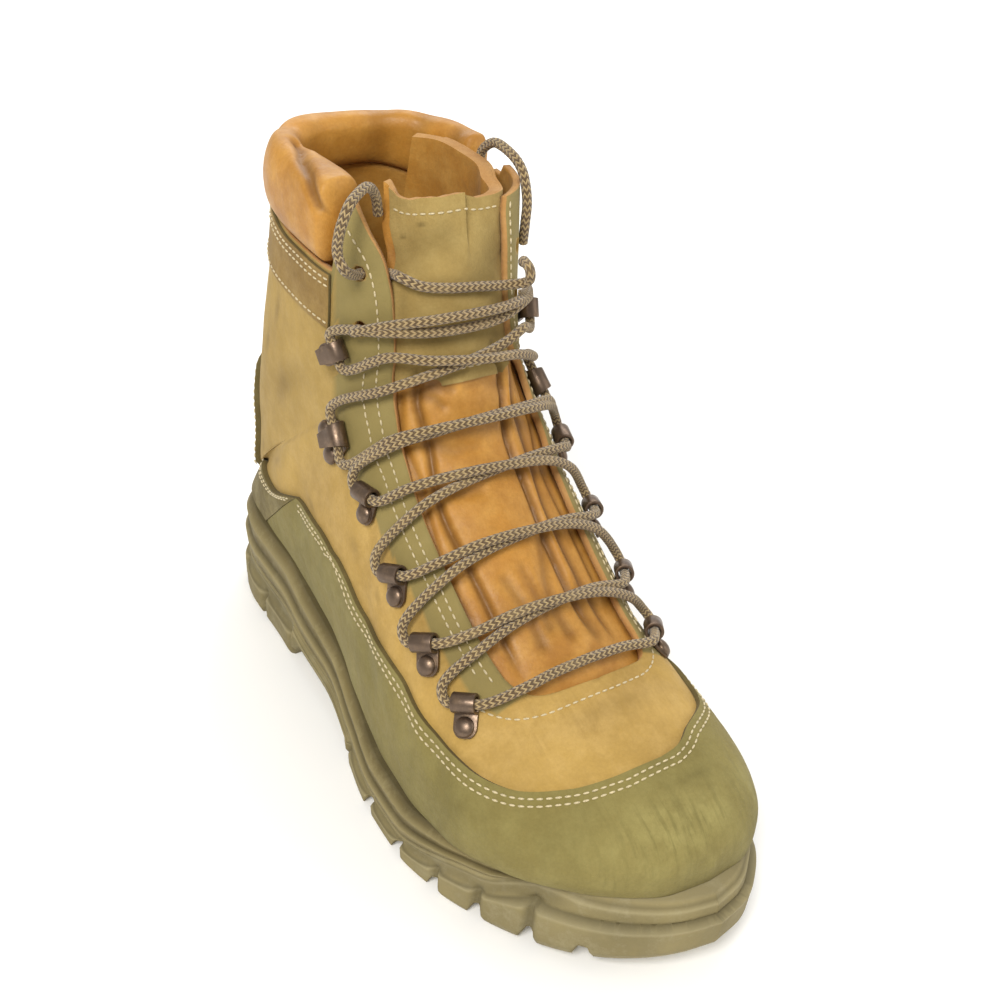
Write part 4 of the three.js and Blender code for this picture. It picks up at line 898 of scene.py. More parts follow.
RAND_WEAR = (
    (1.9, 0.12, 1.1, 0.3, 0.75), (0.6, 0.0, 1.3, 0.5, 0.5), (2.2, 0.45, 0.9, 0.12, 0.4),
    (2.4, -0.3, 0.9, 0.2, 0.5), (3.2, 0.2, 0.3, 0.08, 0.3),
    (5.5, 0.93, 2.4, 0.05, 0.4), (8.5, 0.93, 2.4, 0.05, 0.35),
)
RAND_DIRT = ((4.5, 0.9, 2.0, 0.06, 0.4), (1.5, 0.9, 1.5, 0.06, 0.5), (3, -0.05, 0.12, 0.06, 0.25))


def rand_values(station, across):
    return {"wear": spots_at(station, across, RAND_WEAR), "dirt": spots_at(station, across, RAND_DIRT)}


class BOOT_OT_rand(bpy.types.Operator):
    """Makes the suede rand round the toe and sides"""

    bl_idname = "boot.rand"
    bl_label = "Rand"

    def execute(self, context):
        looks = Shop.finishes()
        rows = LEATHER_ROWS[LEATHER_ROWS < RAND_END - OVERLAY_SEAM]
        rows = np.append(rows, RAND_END - OVERLAY_SEAM)
        made = panel(
            "rand_suede", rows, [looks.suede, looks.suede, looks.edge], RAND_THICKNESS, HUG,
            start=lambda rows, side: np.where(rows <= CAP_STATION, 0, rand_top[side](rows)),
            values=rand_values)
        bevelled(made, 0.5 * MM)
        settle_piece(made, ["rand"])
        return {"FINISHED"}


class BOOT_OT_heel_counter(bpy.types.Operator):
    """Makes the suede heel counter"""

    bl_idname = "boot.heel_counter"
    bl_label = "Heel counter"

    def execute(self, context):
        looks = Shop.finishes()
        rows = np.concatenate([
            np.linspace(COUNTER_TOP[0][0], 14, 34), np.linspace(14.1, COUNTER_TOP[-1][0], 34)])
        made = panel(
            "counter_suede", rows, [looks.counter, looks.counter, looks.edge], COUNTER_THICKNESS, HUG,
            start=lambda rows, side: counter_top(rows), values=rand_values)
        bevelled(made, 0.5 * MM)
        settle_piece(made, ["heel_counter"])
        return {"FINISHED"}


class BOOT_OT_collar_band(bpy.types.Operator):
    """Makes the leather band round the shaft under the collar"""

    bl_idname = "boot.collar_band"
    bl_label = "Collar band"

    def execute(self, context):
        looks = Shop.finishes()
        last = Shop.last()

        def warp(share, across):
            return last.station_at(across, seam_height(last, across) - mix(BAND_WIDTH, 1 * MM, share))

        shares = np.linspace(0, 1, 14)
        made = panel(
            "band_nubuck", shares, [looks.band, looks.band, looks.edge], BAND_THICKNESS, HUG,
            start=lambda rows, side: np.full(rows.shape, tab_edge(side) + TAB_STEP), warp=warp,
            values=quarter_values, spots=np.full(shares.shape, float(TOP)))
        bevelled(made, 0.4 * MM)
        settle_piece(made, ["collar_band"])
        return {"FINISHED"}


# The padded pieces

COLLAR_PAD = 12 * MM
COLLAR_TOP_RISE = 4.5 * MM
COLLAR_OUT = 4 * MM
COLLAR_START = 0.035
# How much thicker the padding is inwards at its outer front end, and where by across and half width.
COLLAR_LOBE = 9 * MM
LOBE_PLACE = (0.47, 0.13)

# Width and depth in millimetres, then the run of (across, turn in degrees). Turn 0 faces out, 90 is the top.
COLLAR_CREASES = (
    (2.0, 2.7, ((0.62, 106), (0.57, 96), (0.52, 80), (0.475, 60), (0.44, 38), (0.41, 22))),
    (4.0, 0.9, ((0.78, 110), (0.77, 60), (0.74, 10))),
    (4.0, 1.2, ((-0.56, 110), (-0.57, 170), (-0.56, 210))),
    (5.0, 1.0, ((-0.72, 110), (-0.73, 160), (-0.7, 210))),
    (6.0, 0.8, ((-0.9, 110), (-0.9, 150), (-0.91, 200))),
    (14.0, -1.3, ((0.64, 60), (0.66, 20), (0.7, 0))),
    (14.0, -1.2, ((0.88, 60), (0.9, 20), (0.92, -10))),
)


def collar_rings(last, across, turns):
    across, turns = across[:, None], turns[None, :]

    def square(value):
        return np.sign(value) * np.abs(value) ** 0.7

    seam = seam_height(last, across) + CLEARANCE
    height = seam + ((last.top + COLLAR_TOP_RISE - seam) / 2) * (1 + square(np.sin(turns)))
    pad = COLLAR_PAD + COLLAR_LOBE * bump(across, *LOBE_PLACE)
    lift = COLLAR_OUT - pad / 2 + (pad / 2) * square(np.cos(turns))
    wide = np.broadcast_to(across, height.shape)
    points = last.lifted(last.station_at(wide, np.minimum(height, last.top)), wide, lift)
    points[..., 2] = height
    return points


class BOOT_OT_collar(bpy.types.Operator):
    """Makes the padded collar and its creases"""

    bl_idname = "boot.collar"
    bl_label = "Collar"

    def execute(self, context):
        looks = Shop.finishes()
        last = Shop.last()
        side = [mix(tab_edge(s) + COLLAR_START, 1, np.linspace(0, 1, 90)) * s for s in (1, -1)]
        across = np.concatenate([side[0], side[1][:-1][::-1]])
        turns = np.linspace(0, 2 * np.pi, 56, endpoint=False)
        rings = collar_rings(last, across, turns)
        middle = rings.mean(1, keepdims=True)
        out = unit(rings - middle)
        sink = np.zeros(rings.shape[:2])
        for width, depth, run in COLLAR_CREASES:
            spots, angles = np.array(run).T
            run_points = np.array([
                collar_rings(last, np.array([a]), np.array([np.radians(t)]))[0, 0]
                for a, t in zip(spots, angles)])
            away = distance_to(rings, run_points) / (width * MM)
            sink += depth * MM * (np.exp(-(away**2)) - 0.12 * np.exp(-(((away - 2.2) / 1.0) ** 2)))
        swell = 0.12 * MM * np.sin(across * 33 + 1.0)[:, None] * np.sin(turns * 2 + 0.6)[None, :]
        rings = rings + out * (swell - sink)[..., None]
        ends = np.arange(len(across))
        taper = np.minimum(ends, len(across) - 1 - ends)
        shrink = 1 - 0.55 * np.clip(1 - taper / 3, 0, 1) ** 2
        rings = middle + (rings - middle) * shrink[:, None, None]
        # Painted shade in the creases, darker the deeper they sink.
        crease_shade = np.clip(sink / (1.6 * MM), 0, 1) * 0.6
        made = ringed("collar_padding", rings, [looks.collar], values={"dirt": crease_shade})
        settle_piece(made, ["collar"])
        return {"FINISHED"}


TONGUE_START = 4.6
TONGUE_FOOT = 5.7
FOOT_DROP = 0.8 * MM
TONGUE_RISE = 4 * MM
TONGUE_CROWN = 2.2 * MM
TONGUE_THICKNESS = 4.5 * MM
TONGUE_TUCK = 9 * MM
TONGUE_REACH = 34 * MM
TONGUE_LEAN = 13 * MM
WING_START = TAB_START + 1
WING_REACH = 0.72
WING_DEPTH = 6.5 * MM
RISE_START = 19.5


def tongue_points(last, station, share, under):
    """The tongue at a station and a share of its half width, so far under its face."""
    station, share = np.broadcast_arrays(np.asarray(station, float), np.asarray(share, float))
    side = np.where(share < 0, -1.0, 1.0)
    wide = np.maximum(station, TONGUE_FOOT)
    edge = np.where(side > 0, throat_shares[1](wide), throat_shares[-1](wide)) * THROAT_HALF_WIDTH
    tuck = mix(TONGUE_TUCK, 2 * MM, smooth(station, TAB_START, TAB_START + 2))
    leaf = last.across_at(station, np.abs(share) * np.minimum(edge + tuck, TONGUE_REACH), side)
    wing = smooth(station, WING_START, WING_START + 2)
    across = np.where(side > 0, leaf, mix(leaf, -WING_REACH * share * share, wing))
    free = smooth(station, THROAT_STATION, TONGUE_FOOT)
    crown = mix(-FOOT_DROP, TONGUE_CROWN * np.maximum(0, 1 - (share * 1.5) ** 2), free)
    outer = crown - TONGUE_LEAN * smooth(share, 0.3, 1) * smooth(station, TAB_START, TOP)
    inner = crown * (1 - wing) - WING_DEPTH * smooth(-across, 0.1, 0.3) * wing
    lift = np.where(share > 0, outer, inner) - Shop.sizes().wall - TONGUE_GAP - under
    points = last.lifted(station, across, lift)
    risen = np.clip((station - RISE_START) / (TOP - RISE_START), 0, 1)
    points[..., 2] += TONGUE_RISE * risen * np.where(share > 0, 1, 1 + share)
    wavy = 0.9 * np.sin(share * 6 + 0.5) + 0.35 * np.sin(share * 15 + 1) + 0.12 * np.sin(share * 41)
    points[..., 2] += wavy * MM * smooth(station, 20, TOP)
    return points


# Share of the half width, its width, depth in millimetres, and from and to which station.
BELLOWS = (
    (-0.34, 0.045, 2.6, 5.6, 15.5), (-0.56, 0.06, 1.7, 5.4, 15), (-0.8, 0.05, 1.2, 6, 14),
    (0.66, 0.05, 1.8, 5.4, 15),
    (0.86, 0.05, 0.9, 6, 14), (-0.45, 0.07, -1.2, 6, 14), (0.1, 0.3, -0.6, 6, 13),
)
# Station and share of the half width of soft cross folds, with their width in millimetres and depth.
TONGUE_FOLDS = (
    (2.5, 1.2, ((7.3, -0.26), (6.7, -0.1), (6.2, -0.02), (5.8, -0.06))),
    (2.2, 1.1, ((7.0, 0.1), (6.5, 0.08), (6.0, 0.12))),
    (2.4, 1.1, ((6.9, 0.34), (6.3, 0.26), (5.8, 0.3))),
    (2.5, 1.0, ((6.5, -0.44), (6.0, -0.36), (5.7, -0.38))),
    (3, 1.0, ((9.2, 0.6), (8.7, 0.42), (8.6, 0.2))),
    (3, 0.9, ((10.6, 0.64), (10.1, 0.4), (10.0, 0.1))),
    (2.2, 1.2, ((12.8, 0.66), (12.5, 0.45), (12.3, 0.3))),
    (2.0, 1.0, ((12.4, 0.66), (12.1, 0.5), (11.7, 0.42))),
    (2.2, 1.0, ((13.2, 0.66), (13.1, 0.4), (13.1, 0.15))),
    (3, 0.8, ((12.0, -0.3), (12.3, -0.1), (12.2, 0.1))),
    (6, 0.8, ((15.6, -0.4), (15.9, 0.0), (15.6, 0.4))),
    (6, 0.9, ((18.9, 0.9), (19.2, 0.6), (19.5, 0.3))),
    (8, 1.0, ((18.0, -0.2), (18.6, -0.45), (19.8, -0.7))),
)


def tongue_sink(last, station, share):
    station, share = np.broadcast_arrays(station, share)
    sink = np.zeros(station.shape)
    for middle, width, depth, start, stop in BELLOWS:
        wander = middle + 0.03 * np.sin(station * 1.7 + middle * 9)
        along = smooth(station, start, start + 0.8) * (1 - smooth(station, stop - 1.2, stop))
        sink += depth * MM * along * bump(share, wander, width)
    points = tongue_points(last, station, share, 0.0)
    for width, depth, run in TONGUE_FOLDS:
        run_points = tongue_points(last, *np.array(run).T, 0.0)
        sink += depth * MM * np.exp(-((distance_to(points, run_points) / (width * MM)) ** 2))
    return sink


# Marks on the facing, by station and share.
TONGUE_DIRT = ((20.0, 0.5, 0.1, 0.05, 0.7), (19.55, 0.74, 0.08, 0.05, 0.7), (17.4, 0.72, 0.6, 0.05, 0.3))
TONGUE_ROWS = np.linspace(TONGUE_START, TOP, 190)
TONGUE_SHARES = 1 - 2 * np.linspace(0, 1, 91)


class BOOT_OT_tongue(bpy.types.Operator):
    """Makes the padded tongue with its bellows and its suede facing"""

    bl_idname = "boot.tongue"
    bl_label = "Tongue"

    def execute(self, context):
        looks = Shop.finishes()
        last = Shop.last()
        rows, shares = TONGUE_ROWS[:, None], TONGUE_SHARES[None, :]
        sink = tongue_sink(last, rows, shares)
        top = tongue_points(last, rows, shares, sink)
        bottom = tongue_points(last, rows, shares, TONGUE_THICKNESS + 0 * sink)
        # Painted shade in the bellows and the folds, darker the deeper they sink.
        values = {"dirt": np.clip(sink / (1.4 * MM), 0, 1) * 0.7}
        leaf = wall("tongue_leather", top, bottom, [looks.collar, looks.lining, looks.raw], values=values)
        bevelled(leaf, 1.2 * MM, 3)
        settle_piece(leaf, ["tongue"])

        rows = np.linspace(12.5, TOP, 100)[:, None]
        foot = mix(0.4, 0.9, smooth(rows, 12.5, 14.6))
        shares = foot * (1 - 2 * np.linspace(0, 1, 61))[None, :]
        sink = tongue_sink(last, rows, shares)
        top = tongue_points(last, rows, shares, sink - 1.1 * MM)
        bottom = tongue_points(last, rows, shares, sink - 0.05 * MM)
        marks = spots_at(rows, shares, TONGUE_DIRT)
        # Painted shade in the folds, together with the listed marks on the facing.
        values = {"dirt": np.maximum(np.clip(sink / (1.4 * MM), 0, 1) * 0.5, marks)}
        facing = wall("tongue_facing", top, bottom, [looks.facing, looks.facing, looks.raw], values=values)
        bevelled(facing, 0.3 * MM)
        settle_piece(facing)
        return {"FINISHED"}


# The sole

HEEL_OUTLINE = (
    (0.0, 0.011, -0.011), (0.008, 0.165, -0.14), (0.03, 0.33, -0.29), (0.083, 0.46, -0.41),
    (0.15, 0.505, -0.45),
    (0.23, 0.51, -0.455), (0.31, 0.53, -0.435),
)
FORE_OUTLINE = (
    (0.4, 0.41, -0.315), (0.5, 0.455, -0.355), (0.593, 0.5, -0.425), (0.673, 0.508, -0.48),
    (0.743, 0.479, -0.5),
    (0.803, 0.423, -0.496), (0.867, 0.346, -0.462), (0.923, 0.25, -0.405), (0.967, 0.125, -0.3),
    (0.99, 0.01, -0.205), (1.0, -0.094, -0.094),
)
SOLE_JOINT = (
    (0.0, 0.48), (0.27, 0.46), (0.33, 0.44), (0.42, 0.47), (0.5, 0.38), (0.59, 0.34), (0.65, 0.35),
    (0.7, 0.48),
    (0.77, 0.72), (0.81, 0.76), (0.845, 0.93), (0.862, 1.0), (1.0, 1.0),
)
# Share of the height, inset on the sides and round the toe in millimetres.
MIDSOLE_PROFILE = (
    (0, 2.2, 2.2), (0.12, 1.2, 1.2), (0.34, 0.6, 0.6), (0.44, 2.4, 2.4), (0.6, 2.0, 2.0), (0.78, 1.4, 1.4),
    (0.9, 3.0, 3.0), (1, 4.6, 4.6),
)
OUTSOLE_PROFILE = (
    (0, 1.4, 1.6), (0.1, 0.4, 0.5), (0.56, 0, 0.2), (0.6, 0.3, 4.0), (0.66, 0.4, 3.3), (0.84, 0.9, 3.7),
    (0.89, 1.0, 5.0), (1, 2.0, 6.4),
)
# Share of the height, how much lighter and how much darker it is there: painted highlights on the ridges and
# edges, painted shade in the grooves and under the rand, and real rubbing at the outsole's ground edge.
MIDSOLE_HIGHLIGHT_AND_SHADE = ((0.34, 0.6, 0), (0.44, 0, 0.6), (0.78, 0.45, 0), (1, 0, 0.6))
OUTSOLE_HIGHLIGHT_WEAR_AND_SHADE = ((0, 0.35, 0), (0.56, 0.4, 0), (0.6, 0, 0.6), (0.84, 0.35, 0), (0.89, 0, 0.4), (1, 0.2, 0.2))
LUG_PARTINGS = (0.083, 0.177, 0.593, 0.673, 0.743, 0.803, 0.867, 0.923)
MIDSOLE_TIP = 0.855
# How near an inset point may come to the toe's tip, as a share of its way there.
TIP_SHARE = 0.06
HEEL_BLOCK = 84 * MM
LUG_DEPTH = 5 * MM
LUG_GAP = 4.5 * MM
LUG_REACH = 24 * MM
LUG_SWEEP = 0.35
HEEL_BEVEL = 2.5 * MM
ARCH_CLEARANCE = 14 * MM
BREAST_SLOPE = 2.5 * MM
TOE_SPRING = 15 * MM
SOLE_STEPS = 420


class Sole:
    """The sole's outline, its ground line and the line between midsole and outsole."""

    def __init__(self, last, sizes):
        self.last, self.length = last, last.length
        rows = [(a, o * sizes.heel_width, i * sizes.heel_width) for a, o, i in HEEL_OUTLINE]
        rows += [(a, o * sizes.ball_width, i * sizes.ball_width) for a, o, i in FORE_OUTLINE]
        alongs = np.array(columns(rows, 0)[0]) * self.length
        self.edges = {1: curve(alongs, columns(rows, 1)[0]), -1: curve(alongs, columns(rows, 2)[0])}
        joint = np.array(SOLE_JOINT)
        self.share = curve(joint[:, 0] * self.length, joint[:, 1])
        self.arch_front = 0.5 * self.length
        self.spring = 0.74 * self.length

    def ground(self, along):
        along = np.asarray(along, float)
        bevel = HEEL_BEVEL * np.clip(1 - along / (0.04 * self.length), 0, None) ** 2
        rise = np.minimum((along - HEEL_BLOCK) / BREAST_SLOPE, 1)
        fall = np.minimum((self.arch_front - along) / BREAST_SLOPE, 1)
        slant = mix(1, 0.62, (along - HEEL_BLOCK) / (self.arch_front - HEEL_BLOCK))
        arch = ARCH_CLEARANCE * slant * np.minimum(rise, fall)
        toe = TOE_SPRING * np.clip((along - self.spring) / (self.length - self.spring), 0, None) ** 2
        return np.where(along < HEEL_BLOCK, bevel, np.where(along < self.arch_front, arch, toe))

    def joint(self, along):
        return self.last.sole_top(along) * self.share(along)

    def edge_point(self, along, side, inset):
        edge, step = self.edges[side], 0.4 * MM
        a, b = np.maximum(along - step, 0), np.minimum(along + step, self.length)
        run = unit(np.stack([b - a, edge(b) - edge(a)], -1))
        out = np.stack([-run[..., 1], run[..., 0]], -1) * side
        out = np.where((along >= self.length)[..., None], [1, 0], out)
        out = np.where((along <= 0)[..., None], [-1, 0], out)
        lateral, tip = edge(along) - inset * out[..., 1], edge(self.length)
        kept = tip + side * np.maximum(side * (lateral - tip), TIP_SHARE * side * (edge(along) - tip))
        return along - inset * out[..., 0], np.where(along > 0.9 * self.length, kept, lateral)

    def alongs(self, fixed, stop=None):
        even = self.length * (1 - np.cos(np.pi * np.linspace(0, 1, SOLE_STEPS + 1))) / 2
        fixed = np.array(fixed)
        free = [a for a in even if np.abs(fixed - a).min() > 0.5 * MM]
        rows = np.array(sorted([*free, *fixed]))
        return rows if stop is None else rows[rows <= stop]

    def slab(self, name, alongs, low, high, profile, highlight_wear_and_shade, toe_start, materials, relief=None):
        blend = smooth(alongs, toe_start, toe_start + 0.06 * self.length)
        rings, sunk = [], []
        for share, side_inset, toe_inset in profile:
            inset = mix(side_inset * MM, toe_inset * MM, blend)
            deep = relief(alongs, share) if relief is not None else 0 * alongs
            inset = inset + deep
            sunk.append(np.concatenate([deep, deep[::-1]]))
            loop = []
            for side in (1, -1):
                along, lateral = self.edge_point(alongs, side, inset)
                points = self.last.place(along, lateral, mix(low(along), high(along), share))
                loop.append(points if side > 0 else points[::-1])
            rings.append(np.concatenate(loop))
        rings = np.array(rings)
        count, around = rings.shape[:2]
        faces = []
        for k in range(count - 1):
            a, b = k * around, (k + 1) * around
            faces += [[a + j, a + (j + 1) % around, b + (j + 1) % around, b + j] for j in range(around)]
        for base in (0, (count - 1) * around):
            for j in range(len(alongs) - 1):
                face = [base + j, base + j + 1, base + around - 2 - j, base + around - 1 - j]
                faces.append(face[::-1] if base == 0 else face)
        # Painted light on the slab: painted shade in the sunk gaps between the lugs, then the bands of
        # painted highlight and shade from the table.
        wear = np.zeros(rings.shape[:2])
        dirt = 0.55 * np.clip(np.array(sunk) / (2.6 * MM), 0, 1)
        shares = np.array([row[0] for row in profile])
        for share, lightened, dark in highlight_wear_and_shade:
            near = bump(shares, share, 0.03)[:, None]
            wear = np.maximum(wear, lightened * near)
            dirt = np.maximum(dirt, dark * near)
        marks = {"wear": wear, "dirt": dirt}
        made = make_object(name, rings.reshape(-1, 3), faces, materials, None, marks, 40)
        work = bmesh.new()
        work.from_mesh(made.data)
        bmesh.ops.recalc_face_normals(work, faces=work.faces)
        work.to_mesh(made.data)
        work.free()
        return outward(made)


def tread_bar(sole, along, lateral, length, turn, width, depth):
    """The corners of a bar to cut from under the sole, wider at its mouth."""
    floor, bottom = -TOE_SPRING, float(sole.ground(along))
    section = [
        (-width * 0.8, floor), (width * 0.8, floor), (width * 0.8, bottom), (width * 0.38, bottom + depth),
        (-width * 0.38, bottom + depth), (-width * 0.8, bottom),
    ]
    centre = sole.last.place(along, lateral, 0.0)
    run = np.array([-math.cos(turn), -math.sin(turn), 0])
    across = np.array([-run[1], run[0], 0])
    return np.array([
        [centre + run * reach + across * x + np.array([0, 0, z]) for x, z in section]
        for reach in (0, length)])


def cut(made, cutters):
    """Takes the cutters out of the piece."""
    tool = join("cutters", cutters) if len(cutters) > 1 else cutters[0]
    change = made.modifiers.new("Cut", "BOOLEAN")
    change.operation = "DIFFERENCE"
    change.solver = "EXACT"
    change.object = tool
    settle(made)
    bpy.data.objects.remove(tool)
    work = bmesh.new()
    work.from_mesh(made.data)
    bmesh.ops.dissolve_degenerate(work, dist=1e-6, edges=work.edges)
    bmesh.ops.triangulate(work, faces=[face for face in work.faces if len(face.verts) > 4])
    work.to_mesh(made.data)
    work.free()
    return made


def sealed(made):
    """Closes the fine slits that a cut and a bevel can leave."""
    work = bmesh.new()
    work.from_mesh(made.data)
    bmesh.ops.remove_doubles(work, verts=work.verts, dist=0.002 * MM)
    bmesh.ops.dissolve_degenerate(work, dist=0.001 * MM, edges=work.edges)
    loose = [edge for edge in work.edges if not edge.link_faces]
    bmesh.ops.delete(work, geom=loose, context="EDGES")
    bmesh.ops.holes_fill(work, edges=[edge for edge in work.edges if edge.is_boundary], sides=0)
    bmesh.ops.recalc_face_normals(work, faces=work.faces)
    work.to_mesh(made.data)
    work.free()
    made.data.validate()
    return outward(made)


def lug_relief(sole):
    """How far the outsole's side steps in, over the arched tops of the lugs and between them."""
    ends = np.array([0, *LUG_PARTINGS[:2], 0.28, 0.5, *LUG_PARTINGS[2:], 0.985]) * sole.length

    def at(along, share):
        block = np.clip(np.searchsorted(ends, along) - 1, 0, len(ends) - 2)
        width = ends[block + 1] - ends[block]
        place = np.clip((along - ends[block]) / width, 0, 1)
        arch = 0.42 + 0.2 * np.sin(np.pi * place) ** 0.5
        step = 1.5 * MM * smooth(share, arch - 0.02, arch + 0.09) * (1 - smooth(share, 0.8, 1))
        away = np.minimum(along - ends[block], ends[block + 1] - along)
        groove = 2.6 * MM * np.exp(-((away / (1.7 * MM)) ** 2))
        groove *= 1 - smooth(share, 0.45, 0.8)
        arched = (along > HEEL_BLOCK) & (along < sole.arch_front)
        toe = smooth(along, 0.88 * sole.length, 0.92 * sole.length)
        return np.where(arched, 0.3 * step, step + groove) * (1 - toe)

    return at


BAR_WIDTH = 3.2 * MM
BAR_DEPTH = 3 * MM
# Grooves pressed into the walking surface: share of the length, width in millimetres, slant.
TREAD_BARS = (
    (0.6, 30, 0.12), (0.66, 30, -0.12), (0.72, 30, 0.12), (0.78, 28, -0.12), (0.84, 24, 0.12), (0.9, 16, 0),
    (0.07, 20, 0), (0.13, 26, 0), (0.19, 26, 0),
)


class BOOT_OT_sole(bpy.types.Operator):
    """Makes the foam midsole and the lugged rubber outsole"""

    bl_idname = "boot.sole"
    bl_label = "Sole"

    def execute(self, context):
        looks, last = Shop.finishes(), Shop.last()
        sole = Sole(last, Shop.sizes())
        tip = MIDSOLE_TIP * sole.length
        knots = [k for k in last.knots if 0 < k < sole.length]
        rows = sole.alongs([*knots, tip], tip)
        midsole = sole.slab(
            "midsole_foam", rows,
            lambda a: np.minimum(sole.joint(a) + CLEARANCE, last.sole_top(a) - 0.4 * MM),
            last.sole_top, MIDSOLE_PROFILE, MIDSOLE_HIGHLIGHT_AND_SHADE, sole.length, [looks.foam])
        bevelled(midsole, 0.5 * MM, 2, 18)
        settle_piece(midsole, ["midsole"])

        breast = [HEEL_BLOCK, HEEL_BLOCK + BREAST_SLOPE, sole.arch_front - BREAST_SLOPE, sole.arch_front]
        rows = sole.alongs([*knots, tip, *breast])
        profile = np.array(OUTSOLE_PROFILE)
        shares = np.unique(np.concatenate([profile[:, 0], np.linspace(0.1, 0.95, 18)]))
        fine = [
            (share, *(np.interp(share, profile[:, 0], profile[:, k]) for k in (1, 2)))
            for share in shares]
        outsole = sole.slab(
            "outsole_rubber", rows, sole.ground, sole.joint, fine, OUTSOLE_HIGHLIGHT_WEAR_AND_SHADE, 0.8 * sole.length,
            [looks.rubber], lug_relief(sole))
        bars = []
        for share in LUG_PARTINGS:
            along = share * sole.length
            sweep = -LUG_SWEEP if along < sole.arch_front else LUG_SWEEP
            for side in (1, -1):
                lateral = float(sole.edges[side](along)) + side * 6 * MM
                turn = math.pi + sweep if side > 0 else -sweep
                bars.append(tread_bar(
                    sole, along + math.sin(sweep) * 6 * MM, lateral, LUG_REACH, turn, LUG_GAP, LUG_DEPTH))
        for share, half, slant in TREAD_BARS:
            along = share * sole.length
            middle = float(sole.edges[1](along) + sole.edges[-1](along)) / 2
            bars.append(tread_bar(
                sole, along, middle + half / 2 * MM, half * MM, math.pi + slant, BAR_WIDTH, BAR_DEPTH))
        cutters = [ringed(f"bar_{i}", bar, []) for i, bar in enumerate(bars)]
        cut(outsole, cutters)
        bevelled(outsole, 0.35 * MM, 2, 38)
        sealed(outsole)
        settle_piece(outsole, ["outsole"])
        return {"FINISHED"}


INSOLE_THICKNESS = 4 * MM
INSOLE_GAP = 3.8 * MM


class BOOT_OT_insole(bpy.types.Operator):
    """Makes the board inside the upper"""

    bl_idname = "boot.insole"
    bl_label = "Insole"

    def execute(self, context):
        looks, last = Shop.finishes(), Shop.last()
        stations = np.linspace(1, SEAM_START, 110)
        lift = np.full(stations.shape, -Shop.sizes().wall - INSOLE_GAP)
        rims = [last.lifted(stations, np.full(stations.shape, float(side)), lift) for side in (1, -1)]
        share = np.linspace(0, 1, 31)[None, :, None]
        plan = mix(rims[0][:, None, :], rims[1][:, None, :], share)
        floor = last.sole_top(last.along(plan)) + CLEARANCE
        dish = 1 - np.sin(np.pi * share[..., 0]) ** 0.6
        layers = []
        for rise in (INSOLE_THICKNESS - 0.6 * MM + 0.6 * MM * dish, 0 * MM * dish):
            layer = plan.copy()
            layer[..., 2] = floor + rise
            layers.append(layer)
        made = wall("insole_board", layers[0], layers[1], [looks.lining, looks.lining, looks.raw])
        bevelled(made, 0.6 * MM)
        settle_piece(made, ["insole"])
        return {"FINISHED"}


# The lacing hardware

RIVET_RADIUS = 3.9 * MM
RIVET_DOME = 2.4 * MM
PLATE = 1.2 * MM
HOOK_WIDTH = 8.6 * MM
HOOK_REACH = 12 * MM
LACE_PLAY = 0.6 * MM
PLATE_TAIL = -2.1 * RIVET_RADIUS
RIVET_PLACE = PLATE_TAIL / 2 - 0.3 * MM
RIVET_SPACING = 9.5 * MM
LOCK_WIDTH = RIVET_SPACING + 2 * RIVET_RADIUS - 1 * MM
LOOP_TURN = 0.7
LOOPS = ((5.6, 0.27, -0.26), (6.7, 0.29, -0.28), (7.85, 0.31, -0.285), (9.7, 0.33, -0.29))
LOCK = (12, 0.375, -0.3)
HOOK = (16.6, 0.36, -0.27)


def seat(last, station, across, turn):
    """A frame on the skin: x to the throat, turned towards the ankle, y along the facing, z away."""
    side = math.copysign(1, across)
    normal = last.normal(station, across)
    nearer = last.point(station, across - side * NEAR) - last.point(station, across)
    inward = Vector(unit(nearer - (nearer @ normal) * normal))
    inward.rotate(Matrix.Rotation(side * turn, 3, Vector(normal)))
    sideways = Vector(normal).cross(inward)
    frame_ = Matrix((inward, sideways, Vector(normal))).transposed().to_4x4()
    frame_.translation = Vector(last.lifted(station, across, CLEARANCE))
    return frame_


def ribbon(name, line, material):
    """A bent strip: rows of x, z and half width along its middle."""
    line = np.array(line)
    run = np.gradient(line[:, :2], axis=0)
    normal = unit(np.stack([-run[:, 1], run[:, 0]], -1)) * PLATE / 2
    rings = []
    for (x, z, half), (nx, nz) in zip(line, normal):
        rings.append([
            (x + nx, -half, z + nz), (x + nx, half, z + nz),
            (x - nx, half, z - nz), (x - nx, -half, z - nz)])
    return ringed(name, np.array(rings), [material], smooth_angle=40)


def rivet(x, y, material):
    """A dome rivet with a thin brim, standing on the plate."""
    profile = [(0.001 * MM, -0.4 * MM), (RIVET_RADIUS, -0.4 * MM), (RIVET_RADIUS, 0.35 * MM)]
    profile += [
        (0.94 * RIVET_RADIUS * math.cos(a), 0.4 * MM + (RIVET_DOME - 0.4 * MM) * math.sin(a))
        for a in np.linspace(0, math.pi / 2 - 0.02, 9)]
    turns = np.linspace(0, 2 * np.pi, 28, endpoint=False)
    rings = np.array([
        [(x + r * math.cos(t), y + r * math.sin(t), PLATE + z) for t in turns]
        for r, z in profile])
    return ringed("rivet", rings, [material], smooth_angle=35)


def plate_line(width):
    """The plate behind the bend, rounded round its rivets."""
    half = width / 2
    radius = min(half, 4.3 * MM)
    rows = []
    for x in np.linspace(PLATE_TAIL, RIVET_PLACE, 7):
        inner = half - radius
        rounding = math.sqrt(max(radius**2 - (x - RIVET_PLACE) ** 2, (1.2 * MM) ** 2))
        rows.append((x, PLATE / 2, inner + rounding))
    return rows


